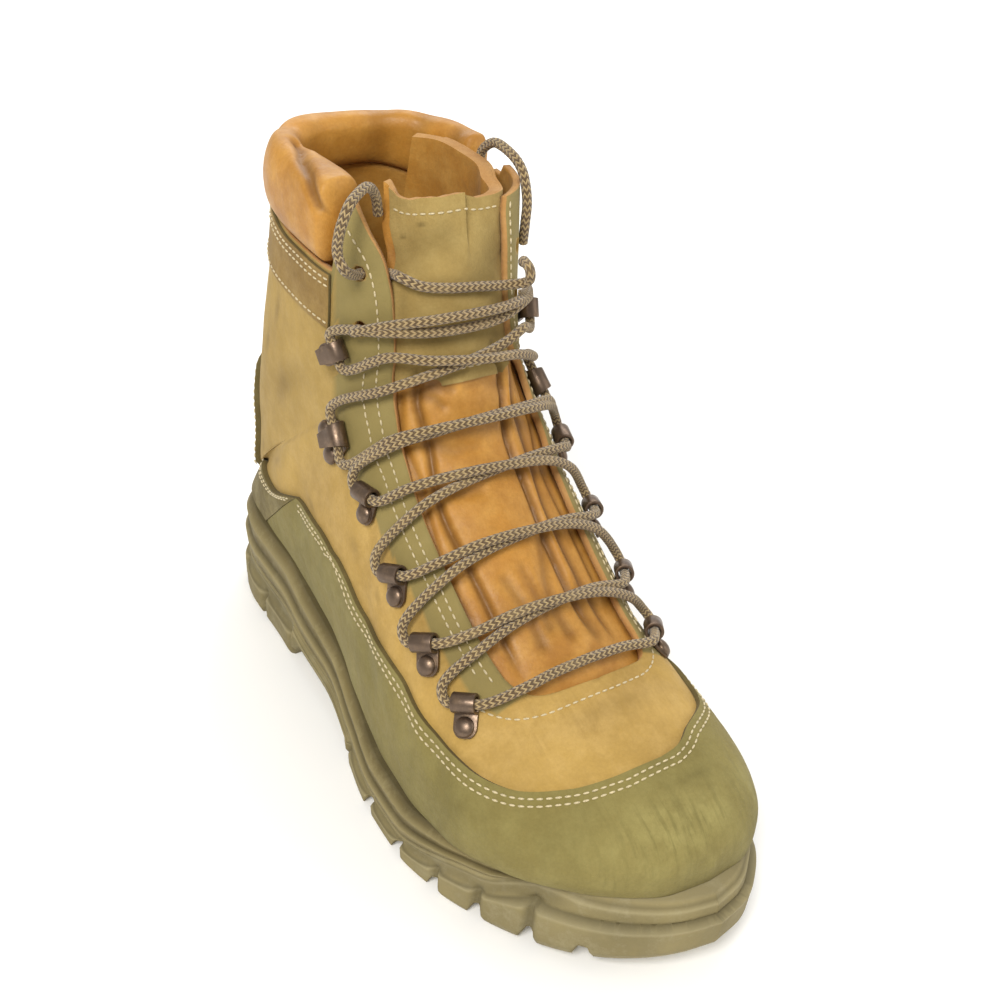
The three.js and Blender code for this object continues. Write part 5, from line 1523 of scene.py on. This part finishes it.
def clip_parts(kind, material):
    bore = Shop.sizes().lace_diameter / 2 + LACE_PLAY
    radius = bore + PLATE
    middle = radius - PLATE / 2
    if kind == "loop":
        line = plate_line(HOOK_WIDTH) + [(0, PLATE / 2, HOOK_WIDTH / 2)]
        for turn in np.radians(np.linspace(-90, 180, 22)):
            line.append((radius + middle * math.cos(turn), radius + middle * math.sin(turn), HOOK_WIDTH / 2))
        line.append((PLATE / 2, PLATE * 1.05, HOOK_WIDTH / 2))
        spots = [0]
    else:
        width = LOCK_WIDTH if kind == "lock" else HOOK_WIDTH
        narrow = 0.42 if kind == "lock" else 0.8
        line = plate_line(width)
        centre = HOOK_REACH / 2
        line += [(x, PLATE / 2, width / 2) for x in np.linspace(RIVET_PLACE + 1 * MM, -1.5 * MM, 3)]
        line += [
            (mix(0, centre, s), PLATE / 2, width / 2 * mix(1, mix(1, narrow, 0.55), s))
            for s in (0.25, 0.6)]
        for turn in np.radians(np.linspace(-90, 90, 17)):
            share = mix(0.55, 0.9, (turn + math.pi / 2) / math.pi)
            line.append((
                centre + middle * math.cos(turn), radius + middle * math.sin(turn),
                width / 2 * mix(1, narrow, share)))
        top = 2 * radius - PLATE / 2
        line += [
            (mix(centre, -1 * MM, s), top + 0.5 * MM * s * s, width / 2 * narrow * mix(1.1, 0.8, s))
            for s in (0.3, 0.6, 0.85, 1)]
        spots = [-RIVET_SPACING / 2, RIVET_SPACING / 2] if kind == "lock" else [0]
    strip = ribbon(f"clip_{kind}", line, material)
    bevelled(strip, 0.22 * MM, 2, 40)
    return join(f"clip_{kind}", [strip, *[rivet(RIVET_PLACE, y, material) for y in spots]])


class BOOT_OT_hardware(bpy.types.Operator):
    """Makes the loop clips, the lock hooks and the top hooks with their rivets"""

    bl_idname = "boot.hardware"
    bl_label = "Lacing hardware"

    def execute(self, context):
        looks, last = Shop.finishes(), Shop.last()
        rows = [(f"loop_{i + 1}", "loop", row, LOOP_TURN) for i, row in enumerate(LOOPS)]
        rows += [("lock", "lock", LOCK, 0), ("hook", "hook", HOOK, 0)]
        for side, column in (("lateral", 1), ("medial", 2)):
            for name, kind, row, turn in rows:
                made = clip_parts(kind, looks.metal)
                made.name = f"{side}_{name}_metal"
                made.data.transform(seat(last, row[0], row[column], turn))
                finish_mesh(made.data, 35)
                settle_piece(made, [f"{side}_{name}"])
        return {"FINISHED"}


# The laces

LACE_SIDES = 16
LACE_STEP = 1.0 * MM
PLAIT_PITCH = 2.3 * MM
LACE_EXIT = 2.5 * MM
CORNER_REACH = 5.5 * MM
BAR_SHARES = (0.1, 0.3, 0.5, 0.7, 0.9)
HELD = ((5.35, 6.15), (6.45, 7.3), (7.6, 8.6), (9.4, 10.8), (11.1, 12.9), (16.2, 17))
# Height of the lace's middle over the skin, half way over the throat, under and over the other strand.
UNDER_LIFT = 2.8 * MM
OVER_LIFT = 6.6 * MM
EDGE_LIFT = 5.2 * MM


def spline(points, step):
    """A centripetal Catmull-Rom line through the points, in even steps."""
    p = np.array(points, float)
    p = np.concatenate([[2 * p[0] - p[1]], p, [2 * p[-1] - p[-2]]])
    line = []
    for a, b, c, d in zip(p[:-3], p[1:-2], p[2:-1], p[3:]):
        t0 = 0.0
        t1 = t0 + math.sqrt(max(np.linalg.norm(b - a), 1e-9))
        t2 = t1 + math.sqrt(max(np.linalg.norm(c - b), 1e-9))
        t3 = t2 + math.sqrt(max(np.linalg.norm(d - c), 1e-9))
        t = np.linspace(t1, t2, 12, endpoint=False)[:, None]
        a1 = (t1 - t) / (t1 - t0) * a + (t - t0) / (t1 - t0) * b
        a2 = (t2 - t) / (t2 - t1) * b + (t - t1) / (t2 - t1) * c
        a3 = (t3 - t) / (t3 - t2) * c + (t - t2) / (t3 - t2) * d
        b1 = (t2 - t) / (t2 - t0) * a1 + (t - t0) / (t2 - t0) * a2
        b2 = (t3 - t) / (t3 - t1) * a2 + (t - t1) / (t3 - t1) * a3
        line.append((t2 - t) / (t2 - t1) * b1 + (t - t1) / (t2 - t1) * b2)
    line = np.concatenate([*line, p[-2:-1]])
    away = np.concatenate([[0], np.cumsum(np.linalg.norm(np.diff(line, axis=0), axis=1))])
    spots = np.linspace(0, away[-1], max(2, int(round(away[-1] / step)) + 1))
    return np.stack([np.interp(spots, away, line[:, k]) for k in range(3)], -1), away[-1]


def rope(name, points, material, diameter):
    """A round braid along the points. Its UV runs once round and once for each plait."""
    line, length = spline(points, LACE_STEP)
    run = unit(np.gradient(line, axis=0))
    side = unit(np.cross([0, 0, 1], run[0]))
    turns = np.linspace(0, 2 * np.pi, LACE_SIDES, endpoint=False)
    rings = []
    for i, (spot, way) in enumerate(zip(line, run)):
        side = unit(side - way * (side @ way))
        up = np.cross(way, side)
        phase = 2 * np.pi * i * LACE_STEP / PLAIT_PITCH
        ripple = 1 + 0.035 * np.maximum(np.sin(4 * turns + phase), np.sin(-4 * turns + phase))
        radius = diameter / 2 * ripple * 0.985
        rings.append(spot + radius[:, None] * (np.cos(turns)[:, None] * side + np.sin(turns)[:, None] * up))
    made = ringed(name, np.array(rings), [material])
    layer = made.data.uv_layers.new(name="UVMap")
    pitch = length / (len(line) - 1) / PLAIT_PITCH
    for polygon in made.data.polygons:
        seam = {v % LACE_SIDES for v in polygon.vertices} >= {0, LACE_SIDES - 1}
        for loop, vertex in zip(polygon.loop_indices, polygon.vertices):
            around = vertex % LACE_SIDES
            if seam and around == 0:
                around = LACE_SIDES
            layer.data[loop].uv = (around / LACE_SIDES, vertex // LACE_SIDES * pitch)
    return made, line, length


def passage(last, row, side, turn, bore, width):
    """The lace's way through one clip, from its toe end to its ankle end."""
    place = seat(last, row[0], row[1] if side > 0 else row[2], turn)
    radius = Shop.sizes().lace_diameter / 2 + LACE_PLAY + PLATE

    def at(x, y):
        return np.array(place @ Vector((x, y, radius)))

    run = at(bore, 1 * MM) - at(bore, -1 * MM)
    ankle = math.copysign(1, run[1] + run[2])
    reach = width / 2 + LACE_EXIT
    points = [at(bore, ankle * end * reach) for end in (-1, 0, 1)]
    if turn > 0:
        points.append(at(bore + CORNER_REACH, ankle * (reach + Shop.sizes().lace_diameter / 2)))
    return points


def bar(last, start, stop, side, middle, sag=0.0):
    """One strand over the throat, from one side's edge to the other."""
    points = []
    for share in BAR_SHARES:
        station = mix(start, stop, share) - sag * math.sin(math.pi * share)
        here = side if share < 0.5 else -side
        reach = abs(1 - 2 * share) * 1.25
        across = here * float(throat_edge(last, station, here)) * reach
        lift = mix(middle, EDGE_LIFT, reach**2 if reach < 1 else 1)
        points.append(last.lifted(station, across, lift))
    return points


def zigzag(last, start_side, front, radius):
    """One end of the lace: through each clip in turn and over the throat between them."""
    ways = {}
    for side in (1, -1):
        ways[side] = [passage(last, row, side, LOOP_TURN, radius, HOOK_WIDTH) for row in LOOPS]
        ways[side].append(passage(last, LOCK, side, 0, HOOK_REACH / 2, LOCK_WIDTH))
        ways[side].append(passage(last, HOOK, side, 0, HOOK_REACH / 2, HOOK_WIDTH))
    points = [*front, *ways[start_side][0]]
    side = start_side
    for i in range(len(HELD) - 1):
        middle = UNDER_LIFT if side > 0 else OVER_LIFT
        points += bar(last, HELD[i][1], HELD[i + 1][0], side, middle)
        side = -side
        points += ways[side][i + 1]
    hole = TAB_HOLES[0]
    low, sag = (UNDER_LIFT, 0.75) if side > 0 else (OVER_LIFT, 0.2)
    points += bar(last, HELD[-1][1], hole[0], side, low, sag)
    across = hole[2 if side > 0 else 1]
    points += [last.lifted(hole[0], across, EDGE_LIFT - 1.2 * MM), last.lifted(hole[0], across, 0.5 * MM)]
    return points


OUTER_LOOP = (
    (103, 19.6, 208), (104.5, 22, 216), (108, 27, 220.5), (113, 34, 220), (116.5, 38.5, 218),
    (116.5, 41.5, 210),
    (116, 42, 202), (117.5, 40.5, 197),
)
INNER_LOOP = (
    (80, -35.8, 209), (82, -35.8, 217), (87, -36, 221.5), (91.2, -36, 223), (103.5, -36, 221.5),
    (109.4, -36, 217.9), (113.5, -36, 209.1), (113.7, -36, 199.6), (112.1, -37, 192),
)
TOP_RUN = (
    (18.5, 0.235, -5.5), (18.4, 0.2, -4.5), (18.3, 0.165, 0.4), (17.95, 0.12, 1), (17.7, 0.055, 1.1),
    (17.55, -0.005, 1.4), (17.5, -0.07, 4),
    (17.7, -0.09, 11), (18.1, -0.08, 13), (18.3, -0.1, 8), (18.2, -0.13, 5),
)


class BOOT_OT_laces(bpy.types.Operator):
    """Makes the round braided lace: its crossings and the loose runs at the top"""

    bl_idname = "boot.laces"
    bl_label = "Laces"

    def execute(self, context):
        looks, last = Shop.finishes(), Shop.last()
        diameter = Shop.sizes().lace_diameter
        radius = diameter / 2 + LACE_PLAY + PLATE
        front = bar(last, HELD[0][0], HELD[0][0], -1, UNDER_LIFT)
        half = len(front) // 2
        one = rope("lace_one", zigzag(last, 1, front[half:], radius), looks.braid, diameter)[0]
        other = front[half:half + 1] + front[:half][::-1]
        two = rope("lace_two", zigzag(last, -1, other, radius), looks.braid, diameter)[0]
        crossings = join("lace_crossings_braid", [one, two])
        finish_mesh(crossings.data, 60)
        settle_piece(crossings, ["lace_crossings"])
        hole = TAB_HOLES[1]
        into_hole = [last.lifted(hole[0], hole[1], lift * MM) for lift in (1.6, -1.4)]
        loops = (
            ("lace_outer_loop", [last.place(*(np.array(row) * MM)) for row in OUTER_LOOP] + into_hole),
            ("lace_inner_loop", [last.place(*(np.array(row) * MM)) for row in INNER_LOOP]),
            ("lace_top_run", [last.lifted(s, a, lift * MM) for s, a, lift in TOP_RUN]),
        )
        for name, points in loops:
            made, line, length = rope(f"{name}_braid", points, looks.braid, diameter)
            settle_piece(made, [name])
        return {"FINISHED"}


# Stitches


def seam(last, station, across, lift):
    """A stitch line's points and the skin's own direction there."""
    station, across = np.broadcast_arrays(np.asarray(station, float), np.asarray(across, float))
    normal = last.normal(station, across)
    return skin(last, station, across, np.full(station.shape, lift)), normal


def shifted(last, station, across, distance):
    """A run moved to its right on the skin, seen from outside, by a distance."""
    ahead, beside = 0.01, 0.0025
    points = last.point(station, across)
    by_station = (last.point(station + ahead, across) - last.point(station - ahead, across)) / (2 * ahead)
    by_across = (last.point(station, across + beside) - last.point(station, across - beside)) / (2 * beside)
    run = unit(np.gradient(points, axis=0))
    right = np.cross(run, last.normal(station, across)) * distance
    a, b, c = ((x * y).sum(-1) for x, y in (
        (by_station, by_station), (by_station, by_across), (by_across, by_across)))
    u, v = (right * by_station).sum(-1), (right * by_across).sum(-1)
    whole = np.maximum(a * c - b * b, 1e-12)
    return station + (u * c - v * b) / whole, across + (v * a - u * b) / whole


def both_sides(rows, edge, front):
    """A run down the outer side of an edge, over its front and up the inner side."""
    down = rows[::-1]
    station = np.concatenate([down, front[0], rows])
    across = np.concatenate([edge(down, 1), front[1], -edge(rows, -1)])
    return station, across


# The seam round the throat's front: station and across.
THROAT_SEAM = (
    (5.6, 0.245), (5.3, 0.215), (5.02, 0.165), (4.88, 0.1), (4.84, 0), (4.9, -0.1), (5.1, -0.17),
    (5.35, -0.21),
    (5.6, -0.225),
)


def seam_lines(last):
    lines = []
    rand_face, counter_face, band_face = (
        thickness + 0.1 * MM for thickness in (RAND_THICKNESS, COUNTER_THICKNESS, BAND_THICKNESS))
    own = 0.15 * MM
    rows = np.linspace(3.6, RAND_END - 0.1, 170)
    front = (np.full(9, CAP_STATION + 0.02), np.linspace(0.08, -0.03, 9))
    station, across = both_sides(rows, lambda r, side: rand_top[side](r), front)
    for distance in (2.4, 4.9):
        lines.append(seam(last, *shifted(last, station, across, distance * MM), rand_face))
    rows = np.linspace(0, len(THROAT_SEAM) - 1, 90)
    knots = range(len(THROAT_SEAM))
    station, across = (curve(knots, column)(rows) for column in columns(THROAT_SEAM, 0, 1))
    lines.append(seam(last, station, across, own))
    for side in (1, -1):
        for distance, start in ((3.6, 5.75), (6.4, 6.0)):
            rows = np.linspace(start, 16, 150)
            edge = throat_shares[side](rows) * THROAT_HALF_WIDTH + distance * MM
            lines.append(seam(last, rows, side * np.abs(last.across_at(rows, edge, side)), own))
    for side in (1, -1):
        rows = np.linspace(RAND_END + 0.1, 17.4, 120)
        for offset in (0.012, 0.026):
            lines.append(seam(last, rows, side * (counter_top(rows) + offset), counter_face))
        rows = np.linspace(16, TOP - 0.5, 90)
        width = last.across_at(rows, throat_shares[side](rows) * THROAT_HALF_WIDTH + 3.6 * MM, 1)
        lines.append(seam(last, rows, side * width, own))
        across = side * np.linspace(tab_edge(side) + TAB_STEP + 0.01, 0.995, 110)
        for drop in (3.0, 5.6):
            station = last.station_at(across, seam_height(last, across) - drop * MM)
            lines.append(seam(last, station, across, band_face))
        station = last.station_at(across, seam_height(last, across) - BAND_WIDTH + 2 * MM)
        lines.append(seam(last, station, across, band_face))
    for row, reach in ((TOP - 0.6, 0.8), (13.5, 0.34)):
        shares = np.linspace(reach, -min(reach, 0.34), 50)
        points = tongue_points(last, np.full(50, row), shares, -1.2 * MM)
        lines.append((points, last.normal(np.full(50, row), shares * 0.25)))
    return lines


def stitch_tree(material):
    """Stitches along a mesh's edges: resampled to the pitch, one turned to each point, then realized."""
    tree = bpy.data.node_groups.new("Stitch run", "GeometryNodeTree")
    face = tree.interface
    face.new_socket("Geometry", in_out="INPUT", socket_type="NodeSocketGeometry")
    for name, value in (("Pitch", 0.003), ("Length", 0.0022), ("Thickness", 0.0007)):
        face.new_socket(name, in_out="INPUT", socket_type="NodeSocketFloat").default_value = value
    face.new_socket("Geometry", in_out="OUTPUT", socket_type="NodeSocketGeometry")
    add, link = tree.nodes.new, tree.links.new
    start, end = add("NodeGroupInput"), add("NodeGroupOutput")
    to_curve = add("GeometryNodeMeshToCurve")
    link(start.outputs["Geometry"], to_curve.inputs["Mesh"])
    spaced = add("GeometryNodeResampleCurve")
    spaced.mode = "LENGTH"
    link(to_curve.outputs["Curve"], spaced.inputs["Curve"])
    link(start.outputs["Pitch"], spaced.inputs["Length"])
    ball = add("GeometryNodeMeshUVSphere")
    ball.inputs["Segments"].default_value = 8
    ball.inputs["Rings"].default_value = 5
    ball.inputs["Radius"].default_value = 0.5
    turned = add("GeometryNodeTransform")
    turned.inputs["Rotation"].default_value = (0, math.pi / 2, 0)
    link(ball.outputs["Mesh"], turned.inputs["Geometry"])
    size = add("ShaderNodeCombineXYZ")
    link(start.outputs["Length"], size.inputs["X"])
    link(start.outputs["Thickness"], size.inputs["Y"])
    link(start.outputs["Thickness"], size.inputs["Z"])
    along = add("FunctionNodeAlignRotationToVector")
    along.axis = "X"
    link(add("GeometryNodeInputTangent").outputs["Tangent"], along.inputs["Vector"])
    away = add("FunctionNodeAlignRotationToVector")
    away.axis = "Z"
    away.pivot_axis = "X"
    up = add("GeometryNodeInputNamedAttribute")
    up.data_type = "FLOAT_VECTOR"
    up.inputs["Name"].default_value = "up"
    link(along.outputs["Rotation"], away.inputs["Rotation"])
    link(up.outputs["Attribute"], away.inputs["Vector"])
    copies = add("GeometryNodeInstanceOnPoints")
    link(spaced.outputs["Curve"], copies.inputs["Points"])
    link(turned.outputs["Geometry"], copies.inputs["Instance"])
    link(away.outputs["Rotation"], copies.inputs["Rotation"])
    link(size.outputs["Vector"], copies.inputs["Scale"])
    real = add("GeometryNodeRealizeInstances")
    link(copies.outputs["Instances"], real.inputs["Geometry"])
    paint = add("GeometryNodeSetMaterial")
    paint.inputs["Material"].default_value = material
    link(real.outputs["Geometry"], paint.inputs["Geometry"])
    link(paint.outputs["Geometry"], end.inputs["Geometry"])
    return tree


class BOOT_OT_stitches(bpy.types.Operator):
    """Sews the rows of stitches along the pieces' edges"""

    bl_idname = "boot.stitches"
    bl_label = "Stitches"

    def execute(self, context):
        looks, last = Shop.finishes(), Shop.last()
        points, ups, edges = [], [], []
        for line, normal in seam_lines(last):
            first = len(points)
            points += line.tolist()
            ups += normal.tolist()
            edges += [(first + i, first + i + 1) for i in range(len(line) - 1)]
        mesh = bpy.data.meshes.new("stitches")
        mesh.from_pydata(points, edges, [])
        mesh.attributes.new("up", "FLOAT_VECTOR", "POINT").data.foreach_set("vector", np.array(ups).ravel())
        made = bpy.data.objects.new("stitches", mesh)
        bpy.context.scene.collection.objects.link(made)
        tree = stitch_tree(looks.thread)
        sewn = made.modifiers.new("Stitch run", "NODES")
        sewn.node_group = tree
        sizes = Shop.sizes()
        given = {"Pitch": sizes.stitch_pitch, "Length": 0.74 * sizes.stitch_pitch, "Thickness": 0.75 * MM}
        for item in tree.interface.items_tree:
            if item.in_out == "INPUT" and item.name in given:
                sewn[item.identifier] = given[item.name]
        settle(made)
        finish_mesh(made.data, 60)
        settle_piece(made)
        return {"FINISHED"}


# The stage

CAMERA_TARGET = Vector((20.663, 13.047, 95.968)) * MM
CAMERA_AZIMUTH = math.radians(-36.119)
CAMERA_ELEVATION = math.radians(33.968)
CAMERA_ROLL = math.radians(5.674)
CAMERA_DISTANCE = 506.707 * MM
CAMERA_LENS = 46.18
CAMERA_SENSOR = 36


def soft_light(name, place, target, size, power, tint):
    lamp = bpy.data.lights.new(name, "AREA")
    lamp.shape = "DISK"
    lamp.size = size
    lamp.energy = power
    lamp.color = tint
    made = bpy.data.objects.new(name, lamp)
    made.location = place
    made.rotation_euler = (Vector(target) - Vector(place)).to_track_quat("-Z", "Y").to_euler()
    bpy.context.scene.collection.objects.link(made)
    return made


class BOOT_OT_stage(bpy.types.Operator):
    """Sets the camera, the pale floor and the soft lights"""

    bl_idname = "boot.stage"
    bl_label = "Stage"

    def execute(self, context):
        scene = context.scene
        look = Vector((
            math.cos(CAMERA_ELEVATION) * math.sin(-CAMERA_AZIMUTH),
            math.cos(CAMERA_ELEVATION) * math.cos(CAMERA_AZIMUTH),
            -math.sin(CAMERA_ELEVATION)))
        right = look.cross(Vector((0, 0, 1))).normalized()
        up = right.cross(look)
        rolled = right * math.cos(CAMERA_ROLL) + up * math.sin(CAMERA_ROLL)
        raised = up * math.cos(CAMERA_ROLL) - right * math.sin(CAMERA_ROLL)
        camera = bpy.data.objects.new("Camera", bpy.data.cameras.new("Camera"))
        camera.data.lens = CAMERA_LENS
        camera.data.sensor_width = CAMERA_SENSOR
        camera.data.clip_start = 0.01
        turn = Matrix((rolled, raised, -look)).transposed().to_4x4()
        camera.matrix_world = Matrix.Translation(CAMERA_TARGET - look * CAMERA_DISTANCE) @ turn
        scene.collection.objects.link(camera)
        scene.camera = camera

        floor = make_object(
            "studio_floor", [(-9, -9, 0), (9, -9, 0), (9, 9, 0), (-9, 9, 0)],
            [[0, 1, 2, 3]], [floor_finish()])
        middle = (0, 0, 0.1)
        lights = [
            soft_light("Key", (-0.75, -0.55, 1.1), middle, 0.5, 15.5, (1, 0.98, 0.94)),
            soft_light("Fill", (1.0, -0.8, 0.7), middle, 1.2, 5, (1, 0.98, 0.95)),
            soft_light("Back", (0.3, 1.1, 0.9), middle, 1.0, 5, (1, 0.99, 0.97)),
            soft_light("Far floor", (1.5, 1.1, 1.4), (1.5, 1.1, 0), 1.5, 22, (1, 1, 1)),
        ]
        world = bpy.data.worlds.new("Studio")
        world.use_nodes = True
        world.node_tree.nodes["Background"].inputs["Color"].default_value = (1, 0.99, 0.96, 1)
        world.node_tree.nodes["Background"].inputs["Strength"].default_value = 0.5
        scene.world = world
        scene.view_settings.view_transform = "Standard"
        return {"FINISHED"}


MAKERS = (
    BOOT_OT_stage, BOOT_OT_laces, BOOT_OT_upper, BOOT_OT_rand, BOOT_OT_heel_counter, BOOT_OT_collar_band,
    BOOT_OT_collar, BOOT_OT_tongue, BOOT_OT_sole, BOOT_OT_insole, BOOT_OT_hardware, BOOT_OT_stitches,
)


class BOOT_PT_panel(bpy.types.Panel):
    """The boot's sizes, colours and pieces"""

    bl_idname = "BOOT_PT_panel"
    bl_label = "Combat boot"
    bl_space_type = "VIEW_3D"
    bl_region_type = "UI"
    bl_category = "Boot"

    def draw(self, context):
        layout = self.layout
        for group in (context.scene.boot_sizes, context.scene.boot_colours):
            box = layout.box()
            for key in group.__annotations__:
                box.prop(group, key)
        for maker in MAKERS:
            layout.operator(maker.bl_idname)


CLASSES = (BootSizes, BootColours, *MAKERS, BOOT_PT_panel)


def register():
    for kind in CLASSES:
        bpy.utils.register_class(kind)
    bpy.types.Scene.boot_sizes = bpy.props.PointerProperty(type=BootSizes)
    bpy.types.Scene.boot_colours = bpy.props.PointerProperty(type=BootColours)


def unregister():
    del bpy.types.Scene.boot_sizes
    del bpy.types.Scene.boot_colours
    for kind in reversed(CLASSES):
        bpy.utils.unregister_class(kind)


def main():
    register()
    for maker in MAKERS:
        group, name = maker.bl_idname.split(".")
        getattr(getattr(bpy.ops, group), name)()


if __name__ == "__main__":
    main()
